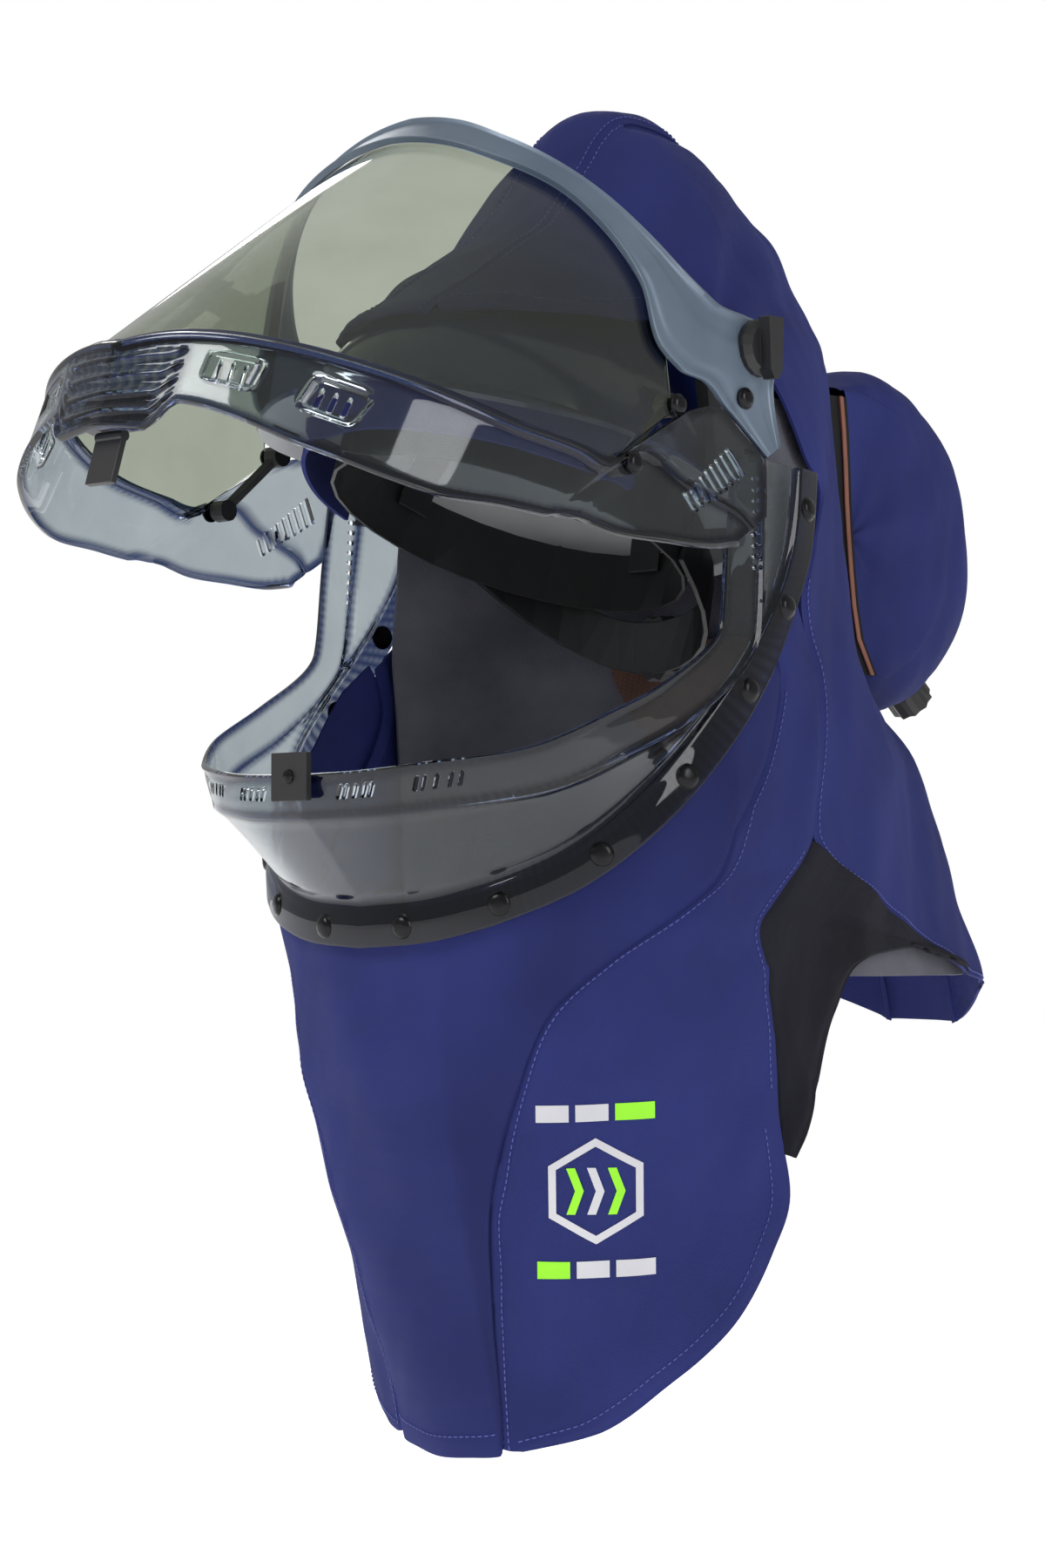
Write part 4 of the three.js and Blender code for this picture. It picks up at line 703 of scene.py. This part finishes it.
def visorPoint(turn, down, inward=0.0):
    t = np.clip(down / visor["long"], -0.1, 1.1)
    half = visor["topHalf"] + (visor["endHalf"] - visor["topHalf"]) * t - inward
    reach = visor["topReach"] + (visor["endReach"] - visor["topReach"]) * t - inward
    shift = visor["shift"] * t
    size, side = np.abs(turn), np.sign(turn)
    near = np.radians(np.minimum(size, 90))
    past = np.maximum(0, size - 90)
    flare = np.maximum(0, past - visor["flat"]) * visor["flare"]
    return stack(side * (half * np.sin(near) + flare),
                 -shift - (reach - shift) * np.cos(near) + past * visor["run"], -down)


def toWorld(p):
    a = math.radians(visor["tilt"])
    y, z = p[..., 1], p[..., 2]
    return stack(p[..., 0], y * math.cos(a) - z * math.sin(a),
                 y * math.sin(a) + z * math.cos(a)) + np.array(visor["pivot"])


visorCentre = toWorld(np.array([0.0, 0.0, -110.0]))


def addBracket():
    turn = np.linspace(-117, 117, 313)[:, None]
    at = np.abs(turn)
    share = np.linspace(0, 1, 25)[None, :]
    rear, front = columnOf(bracketRows, 1)(at), columnOf(bracketRows, 2)(at)
    p = visorPoint(turn, rear + (front - rear) * share)
    n = gridNormals(p, np.array([0, 0, -110.0]))
    rise = 1.5 * np.exp(-((share - 0.04) / 0.05) ** 2) + 1.0 * np.exp(-((share - 0.97) / 0.05) ** 2)
    rise = rise + 0.9 * smoothstep(share, 0.3, 0.42) * (1 - smoothstep(share, 0.78, 0.9)) * smoothstep(at,
            58, 66)
    p = toWorld(p + n * rise[..., None])
    piece = gridPiece(p, visorCentre, 3.0, 0.5)
    finishPiece(piece, "visor_arch", bracketGrey, "visor", ["visor_bracket"], 48)


def addLens():
    turn = np.linspace(-90, 90, 181)[:, None]
    at = np.abs(turn)
    share = np.linspace(0, 1, 60)[None, :]
    top, end = columnOf(lensRows, 1)(at), columnOf(frameRows, 2)(at) - 3
    p = toWorld(visorPoint(turn, top + (end - top) * share, 3.5))
    piece = gridPiece(p, visorCentre, 2.0, 0.3)
    finishPiece(piece, "visor_window", lensClear, "visor", ["visor_lens"], 40)


def chinPoint(turn, down):
    at = np.abs(turn)
    past = np.maximum(0, down - columnOf(frameRows, 2)(at))
    lean = past * visor["taper"] * np.maximum(0, 1 - at / 95)
    p = visorPoint(turn, down)
    flat = unit(p * np.array([0.6, 1, 0]))
    return p - flat * lean[..., None]


def addFrame():
    turn = np.linspace(-130, 130, 391)[:, None]
    at = np.abs(turn)
    top, ridge, end = (columnOf(frameRows, k)(at) for k in (1, 2, 3))
    a, b = np.linspace(0, 1, 9)[None, :], np.linspace(0, 1, 31)[None, 1:]
    down = np.concatenate([top + (ridge - top) * a, ridge + (end - ridge) * b], axis=1)
    p = chinPoint(turn + 0 * down, down)
    n = gridNormals(p, np.array([0, 0, -110.0]))
    past = (down - ridge) / np.maximum(end - ridge, 1)
    block = 1 - smoothstep(at, 14.0, 17.0)
    ribs = np.abs(((past * 5) % 1) - 0.5) * 2
    rise = block * 1.6 * smoothstep(ribs, 0.35, 0.75) * smoothstep(past, 0.02, 0.1)
    rise = rise + 1.2 * np.exp(-((down - ridge) / 2.2) ** 2) + 0.9 * np.exp(-((past - 1) / 0.05) ** 2)
    vents = 0
    for middle in (26, 46):
        pocket = smoothstep(5.5 - np.abs(at - middle), 0, 1.4) * smoothstep(0.2 - np.abs(past - 0.42), 0,
                0.05)
        vents = vents + 2.2 * pocket
    p = toWorld(p + n * (rise - vents)[..., None])
    piece = gridPiece(p, visorCentre, 3.0, 0.4)
    cutSlots(piece)
    finishPiece(piece, "chin_frame", smoked, "visor", ["visor_frame"], 48)
    # Painted shade on the frame's top edge, ridge, bottom edge, ends and chin block
    paintRimShade(piece, [p[::2, 0], p[::2, 8], p[::2, -1], p[0], p[-1], p[170:221:4, 10::3]], 3.6)


sideVents = {"count": 9, "wide": 2.4, "short": 10, "long": 15, "pitch": 4.7, "back": 35, "down": 66}

# A round-ended slot for cutting, by its middle, length and direction in the visor's frame
def slotCutter(middle, long, wide, deep, across, lengthways):
    deselect()
    bpy.ops.mesh.primitive_cube_add(size=1)
    cutter = bpy.context.object
    x, y = unit(np.array(across, float)), unit(np.array(lengthways, float))
    turned = Matrix(np.stack([x * deep, y * long, np.cross(x, y) * wide], axis=1).tolist()).to_4x4()
    cutter.data.transform(Matrix.Scale(0.001, 4) @ Matrix.Translation(Vector(middle)) @ turned)
    modify(cutter, "BEVEL", width=wide * 0.00045, segments=3, limit_method="ANGLE")
    return cutter


def cutAway(piece, cutters):
    deselect()
    for cutter in cutters:
        cutter.select_set(True)
    bpy.context.view_layer.objects.active = cutters[0]
    bpy.ops.object.join()
    joined = bpy.context.object
    modify(piece, "BOOLEAN", operation="DIFFERENCE", object=joined, solver="EXACT")
    bpy.data.objects.remove(joined)


def cutSlots(piece):
    vents, cutters = sideVents, []
    down, back = toWorld(np.array([0, 0, -1.0])) - toWorld(np.zeros(3)), toWorld(np.array([0, 1.0,
            0])) - toWorld(np.zeros(3))
    for side in (1, -1):
        for i in range(vents["count"]):
            long = vents["short"] + (vents["long"] - vents["short"]) * i / (vents["count"] - 1)
            up = (i - (vents["count"] - 1) / 2) * vents["pitch"]
            x = float(visorPoint(np.array(90.0), np.array(66.0))[0])
            middle = toWorld(np.array([side * (x + 6), vents["back"], up - vents["down"]]))
            cutters.append(slotCutter(middle, long, vents["wide"], 24, (1, 0, 0), back))
        for turn in (26, 46):
            for k in (-1, 0, 1):
                t = side * (turn + k * 2.6)
                ridge, end = (float(columnOf(frameRows, c)(abs(t))) for c in (2, 3))
                spot = chinPoint(np.array(float(t)), np.array(ridge + 0.42 * (end - ridge)))
                n = spot * np.array([1, 1, 0])
                tangent = np.array([-n[1], n[0], 0]) * 0.35 * side + np.array([0, 0,
                        -1.0]) * np.linalg.norm(n)
                world = toWorld(spot)
                cutters.append(slotCutter(world, 9, 2.2, 22, toWorld(n) - toWorld(np.zeros(3)),
                                          toWorld(tangent) - toWorld(np.zeros(3))))
    cutAway(piece, cutters)


addBracket()
addLens()
addFrame()
print("visor made")


guardSlots = {"upright": 9, "pitch": 5.1, "top": 4, "x": 145, "y": 17, "groups": (-2.1, -0.95, 0.95, 2.1),
              "each": 5, "apart": 0.13, "long": 7.5, "wide": 2.2, "slant": 0.6, "column": 8}

# Vent slots of the chin guard: a ladder in each upright and slanted groups under the front rim
def cutGuard(look):
    piece, cutters, grid = bpy.data.objects["chin_guard"], [], guardGrid
    for side in (1, -1):
        for i in range(look["upright"]):
            middle = np.array([side * look["x"], look["y"], look["top"] - i * look["pitch"]], float)
            cutters.append(slotCutter(middle, 4.2, 2.4, 26, (1, 0, 0), (0, 1, 0)))
    for group in look["groups"]:
        for k in range(look["each"]):
            row = int(round((group + (k - (look["each"] - 1) / 2) * look["apart"] + 8) * 20))
            spot = grid[row, look["column"]]
            along = unit(grid[row + 2, look["column"]] - grid[row - 2, look["column"]])
            down = unit(grid[row, look["column"] + 3] - grid[row, look["column"] - 3])
            out = np.cross(down, along)
            cutters.append(slotCutter(spot, look["long"], look["wide"], 14, out,
                                      unit(down - along * look["slant"])))
    cutAway(piece, cutters)
    pickOnly(piece)
    bpy.ops.object.shade_smooth_by_angle(angle=math.radians(50))
    # Painted shade on the guard's top rim, belt ridge and flange
    paintRimShade(piece, [grid[::2, k] for k in guard["shadeRims"]], guard["shadeReach"])


cutGuard(guardSlots)
print("guard slots cut")

# Pouch behind the head
pouch = {"half": 60, "back": 77, "high": 72, "plane": 179, "middle": -5, "rimTop": 8, "rimBack": 54,
         "rimBottom": 3}
pouchRows = [(-1, 0, 0), (-1, 0.5, 0), (-1, 0.93, 0), (-0.97, 1, 0.1), (-0.9, 1, 0.45), (-0.55, 1, 0.93),
             (0, 1, 1),
             (0.55, 1, 0.93), (0.9, 1, 0.45), (0.97, 1, 0.1), (1, 0.93, 0), (1, 0.5, 0), (1, 0, 0)]


def hoodBack(x, z):
    half, middle, front, back, power = section(z)
    return middle + (back - middle) * np.maximum(0, 1 - (np.abs(x) / half) ** power) ** (1 / power)


def addPouch():
    index = np.arange(len(pouchRows))
    spot = np.linspace(0, len(pouchRows) - 1, 97)[:, None]
    across, size, bulge = (curveThrough(index, [r[k] for r in pouchRows])(spot) for k in range(3))
    turn = np.radians(np.linspace(92, -92, 90))[None, :]
    back, high = np.cos(turn), np.sin(turn)
    rim = np.where(high > 0, pouch["rimTop"], pouch["rimBottom"])
    grow = bulge * (rim + (pouch["rimBack"] - rim) * back)
    piping = 1.6 * np.exp(-((np.abs(across) - 0.985) / 0.02) ** 2) * smoothstep(size, 0.7, 0.95)
    reach, tall = size * pouch["back"] + grow + piping, size * pouch["high"] + grow + piping
    face = smoothstep(np.abs(across), 0.97, 1.0)
    sag = 2.2 * face * (1 - (2 * size - 0.9) ** 2) * (0.6 + 0.4 * np.sin(3 * turn + 1))
    p = stack(across * pouch["half"] + np.sign(across) * sag,
              pouch["plane"] + back * reach, pouch["middle"] + high * tall)
    p = p + gridNormals(p, np.array([0, 220, -5.0])) * (0.8 * fold(p * 1.6,
            1.0) * 0.5 + 0.5 * np.sin(turn * 9 + across * 5))[..., None]
    p[..., 1] = np.maximum(p[..., 1], hoodBack(p[..., 0], p[..., 2]) + 0.6)
    piece = gridPiece(p, (0, 200, -5), 0, 0, seam=True)
    finishPiece(piece, "pouch_cloth", navyCloth, "hood", ["pouch_body"], 60)


addPouch()
print("pouch made")


# Stitches: one pinched thread bead repeated along a line on the cloth
stitch = {"pitch": 3.3, "long": 2.3, "thick": 0.33, "sides": 6}

def stitchLine(paths):
    pitch, long, thick = stitch["pitch"], stitch["long"], stitch["thick"]
    turns = np.radians(np.arange(stitch["sides"]) * 360 / stitch["sides"])
    points, faces = [], []
    for path, normals in paths:
        run = np.concatenate([[0], np.cumsum(np.linalg.norm(np.diff(path, axis=0), axis=1))])
        marks = np.arange(pitch / 2, run[-1] - long / 2, pitch)
        for mark in marks:
            spot = np.array([np.interp(mark, run, path[:, c]) for c in range(3)])
            ahead = np.array([np.interp(mark + 0.8, run, path[:, c]) for c in range(3)]) - spot
            up = unit(np.array([np.interp(mark, run, normals[:, c]) for c in range(3)]))
            ahead = unit(ahead)
            side = np.cross(up, ahead)
            base = len(points)
            for where, size, lift in ((-0.5, 0.35, -0.2), (-0.3, 1, 0.35), (0.3, 1, 0.35), (0.5, 0.35, -0.2)):
                for turn in turns:
                    points.append(spot + ahead * long * where + up * (thick * (lift + size * math.sin(turn)))
                                  + side * thick * size * math.cos(turn))
            n = stitch["sides"]
            for ring in range(3):
                for i in range(n):
                    a, b = base + ring * n + i, base + ring * n + (i + 1) % n
                    faces.append((a, b, b + n, a + n))
            faces.append(tuple(base + i for i in range(n))[::-1])
            faces.append(tuple(base + 3 * n + i for i in range(n)))
    return points, faces


def stitchPiece(name, paths):
    points, faces = stitchLine(paths)
    mesh = bpy.data.meshes.new(name)
    mesh.from_pydata([tuple(p / 1000) for p in points], [], faces)
    piece = bpy.data.objects.new(name, mesh)
    bpy.context.scene.collection.objects.link(piece)
    finishPiece(piece, name, thread, "hood", smooth=60)


# Line on a panel's grid at a distance from one of its edges, between two shares of its rows
def beside(grid, edge, away, start=0.0, end=1.0, centre=(0, 60, -150), lift=0.15):
    rows = grid.shape[0]
    grid = grid[int(start * (rows - 1)):int(end * (rows - 1)) + 1]
    n = gridNormals(grid, np.array(centre, float))
    if edge == "b":
        grid, n = grid[:, ::-1], n[:, ::-1]
    run = arcs(grid, 1)
    line, ups = [], []
    for r in range(len(grid)):
        if run[r, -1] < away * 1.5:
            continue
        line.append([np.interp(away, run[r], grid[r, :, c]) for c in range(3)])
        ups.append([np.interp(away, run[r], n[r, :, c]) for c in range(3)])
    line, ups = np.array(line), np.array(ups)
    return line + ups * lift, ups


def addStitches():
    g = clothGrids
    seams, hems = [], []
    for side in ("left", "right"):
        seams.append(beside(g["bib_" + side], "a", 11.5, 0.0, 0.93))
        seams.append(beside(g["bib_" + side], "b", 5.0, 0.42, 0.78))
        seams.append(beside(g["side_" + side], "a", 5.0, 0.0, 1.0))
        seams.append(beside(g["side_" + side], "b", 5.0, 0.58, 0.97))
        hems.append(beside(g["bib_" + side], "b", 11.0, 0.02, 0.4))
        hems.append(beside(g["side_" + side], "b", 12.0, 0.0, 0.28))
    seams.append(beside(g["crown_strip"], "a", 5.0))
    seams.append(beside(g["crown_strip"], "b", 5.0))
    hems.append(beside(g["bib_centre"], "b", 11.0, 0.42, 0.58))
    stitchPiece("seam_stitches", seams)
    stitchPiece("hem_stitches", hems)


addStitches()
print("stitches made")


# Printed mark: bars and a hexagon in silver and lime, laid on the left bib panel
mark = {"place": (113.0, -66.0, -330.0), "lift": 0.3, "grow": 1.0}

def addMark(look):
    bib = clothPieces["bib_left"]
    depsgraph = bpy.context.evaluated_depsgraph_get()
    depsgraph.update()
    near = Vector(look["place"]) / 1000
    _, seat, normal, _ = bib.closest_point_on_mesh(near)
    up = Vector((0, 0, 1))
    across = up.cross(normal).normalized()
    high = normal.cross(across).normalized()

    def onCloth(a, b):
        start = seat + across * (a / 1000) + high * (b / 1000) + normal * 0.03
        hit, spot, n, _ = bib.ray_cast(start, -normal, distance=0.08)
        if not hit:
            _, spot, n, _ = bib.closest_point_on_mesh(start)
        return spot + n * (look["lift"] / 1000)

    def patches(name, quads, material):
        points, faces = [], []
        for a, b, c, d, nu, nv in quads:
            a, b, c, d = (np.array(q, float) * look["grow"] for q in (a, b, c, d))
            base = len(points)
            for i in range(nv + 1):
                for j in range(nu + 1):
                    u, v = j / nu, i / nv
                    q = (a * (1 - u) + b * u) * (1 - v) + (d * (1 - u) + c * u) * v
                    points.append(onCloth(*q))
            for i in range(nv):
                for j in range(nu):
                    k = base + i * (nu + 1) + j
                    faces.append((k, k + 1, k + nu + 2, k + nu + 1))
        mesh = bpy.data.meshes.new(name)
        mesh.from_pydata([tuple(p) for p in points], [], faces)
        piece = bpy.data.objects.new(name, mesh)
        bpy.context.scene.collection.objects.link(piece)
        finishPiece(piece, name, material, "hood", smooth=60)

    def bar(x0, x1, y0, y1, lean=0.0):
        return ((x0, y0), (x1, y0), (x1 + lean, y1), (x0 + lean, y1), 10, 3)

    silver, lime = [], []
    corner = [(math.cos(math.radians(60 * k + 30)), math.sin(math.radians(60 * k + 30))) for k in range(7)]
    for k in range(6):
        (ax, ay), (bx, by) = corner[k], corner[k + 1]
        silver.append(((ax * 25, ay * 25), (bx * 25, by * 25), (bx * 21, by * 21), (ax * 21, ay * 21), 8, 2))
    for k, x in enumerate((-9.5, 0, 9.5)):
        target = lime if k != 1 else silver
        target.append(((x - 4, -11), (x, -11), (x + 4, 0), (x, 0), 4, 5))
        target.append(((x, 0), (x + 4, 0), (x, 11), (x - 4, 11), 4, 5))
    for k, (x0, x1) in enumerate(((-27, -12), (-9, 6), (9, 27))):
        (lime if k == 2 else silver).append(bar(x0, x1, 33, 41))
        (lime if k == 0 else silver).append(bar(x0, x1, -41, -33))
    patches("mark_silver", silver, printSilver)
    patches("mark_lime", lime, printLime)


addMark(mark)
print("mark made")


# Domed fasteners: one modelled, then copied onto each node's own place and direction
def domeMaster(radius, rise):
    deselect()
    bpy.ops.mesh.primitive_cylinder_add(vertices=32, radius=radius, depth=rise * 0.45,
                                        location=(0, 0, rise * 0.225))
    piece = bpy.context.object
    for inset, lift in ((0.09, 0.0), (0.03, 0.22), (0.2, 0.3), (0.25, 0.12), (0.22, 0.03)):
        bpy.ops.object.mode_set(mode="EDIT")
        bpy.ops.mesh.select_mode(type="FACE")
        bpy.ops.mesh.select_all(action="DESELECT")
        bpy.ops.object.mode_set(mode="OBJECT")
        top = max(piece.data.polygons, key=lambda f: (round(f.center.z, 7), f.normal.z))
        top.select = True
        bpy.ops.object.mode_set(mode="EDIT")
        bpy.ops.mesh.inset(thickness=radius * inset)
        bpy.ops.transform.translate(value=(0, 0, rise * lift))
        bpy.ops.object.mode_set(mode="OBJECT")
    bpy.ops.object.transform_apply(location=True)
    modify(piece, "BEVEL", width=0.0002, segments=2, limit_method="ANGLE", angle_limit=math.radians(40))
    return piece


# Middle, outward axis and lowest level of a small round node
def seatOf(node):
    co = np.array([v.co[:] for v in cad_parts[node].data.vertices])
    middle = (co.max(0) + co.min(0)) / 2
    _, _, axes = np.linalg.svd(co - co.mean(0))
    axis = axes[2]
    if axis @ (middle - np.array([0, 0.03, middle[2]])) < 0:
        axis = -axis
    along = (co - middle) @ axis
    return Vector(middle + axis * along.min()), Vector(axis), float(along.max() - along.min())


def addRivets():
    names = [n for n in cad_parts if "rivet" in n or n.startswith("bracket_screw")]
    big, small = domeMaster(0.0061, 0.0034), domeMaster(0.0051, 0.003)
    for name in names:
        seat, axis, _ = seatOf(name)
        source = big if name.startswith("shroud") else small
        copy = bpy.data.objects.new(name + "_cap", source.data.copy())
        bpy.context.scene.collection.objects.link(copy)
        turn = axis.to_track_quat("Z", "Y").to_matrix().to_4x4()
        copy.data.transform(Matrix.Translation(seat - axis * 0.0003) @ turn)
        body = "visor" if name.startswith(("visor", "bracket")) else "hood"
        finishPiece(copy, name + "_cap", rivetBlack, body, [name], 50)
    for master in (big, small):
        bpy.data.objects.remove(master)


addRivets()
print("rivets made")


# CAD pieces that keep their shape
def dress(node, material, bevel=0.5):
    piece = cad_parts[node]
    piece.data.materials.clear()
    piece.data.materials.append(material)
    weld = piece.modifiers.new("weld", "WELD")
    weld.merge_threshold = 1e-5
    if bevel:
        round_ = piece.modifiers.new("bevel", "BEVEL")
        round_.width = bevel / 1000
        round_.segments = 2
        round_.limit_method = "ANGLE"
        round_.angle_limit = math.radians(30)
        round_.harden_normals = False


finishes = {
    blackPlastic: ["headband", "crown_strap_across", "crown_strap_along", "nape_strap", "ratchet_knob",
                   "adapter_left", "adapter_right", "strike", "latch_base", "latch_lever", "lens_clip_left",
                   "lens_clip_right", "knob_left", "knob_right", "pouch_cap"],
    hookTape: ["pouch_strip_left", "pouch_strip_right"],
    leather: ["pouch_trim_left", "pouch_trim_right"],
    rivetBlack: ["strike_screw"]}
for material, names in finishes.items():
    for name in names:
        dress(name, material, 0.25 if "rivet" in name or "screw" in name else 0.5)
print("solids dressed")


# Floor, backdrop and light
stageLook = {"floor": -0.62, "floorSize": 60, "world": 1.0, "room": 0.5, "glow": 0.62}

def addStage(look):
    deselect()
    bpy.ops.mesh.primitive_plane_add(size=look["floorSize"], location=(0, 0, look["floor"]))
    floor = bpy.context.object
    floor.name = "floor"
    pale = plasticLook("pale_floor", shade(250, 250, 251), shade(247, 247, 248), 0.7, 60, 0.0001,
                       Emission_Color=(1, 1, 1, 1), Emission_Strength=look["glow"])
    floor.data.materials.append(pale)
    world = bpy.data.worlds.new("studio")
    bpy.context.scene.world = world
    world.use_nodes = True
    tree = world.node_tree
    shown = tree.nodes["Background"]
    shown.inputs["Color"].default_value = (1, 1, 1, 1)
    shown.inputs["Strength"].default_value = look["world"]
    room = tree.nodes.new("ShaderNodeBackground")
    room.inputs["Strength"].default_value = look["room"]
    path = tree.nodes.new("ShaderNodeLightPath")
    either = tree.nodes.new("ShaderNodeMath")
    either.operation = "MAXIMUM"
    tree.links.new(path.outputs["Is Camera Ray"], either.inputs[0])
    tree.links.new(path.outputs["Is Transmission Ray"], either.inputs[1])
    both = tree.nodes.new("ShaderNodeMixShader")
    tree.links.new(either.outputs[0], both.inputs[0])
    tree.links.new(room.outputs[0], both.inputs[1])
    tree.links.new(shown.outputs[0], both.inputs[2])
    tree.links.new(both.outputs[0], tree.nodes["World Output"].inputs["Surface"])


def addLamp(name, place, aim, size, power, tall=None):
    data = bpy.data.lights.new(name, "AREA")
    data.shape = "RECTANGLE"
    data.size = size
    data.size_y = tall or size
    data.energy = power
    lamp = bpy.data.objects.new(name, data)
    lamp.location = place
    lamp.rotation_mode = "QUATERNION"
    lamp.rotation_quaternion = (Vector(aim) - Vector(place)).to_track_quat("-Z", "Y")
    bpy.context.scene.collection.objects.link(lamp)


addStage(stageLook)
addLamp("key", (-0.6, -2.0, 1.5), (0, 0, -0.1), 1.0, 28)
addLamp("side", (2.2, -0.2, 0.7), (0, 0.05, -0.15), 0.8, 16, 1.4)
addLamp("back", (-1.6, 1.4, 1.2), (0, 0.05, 0), 0.9, 12)
bpy.context.scene.view_settings.view_transform = "Standard"
print("stage and light made")
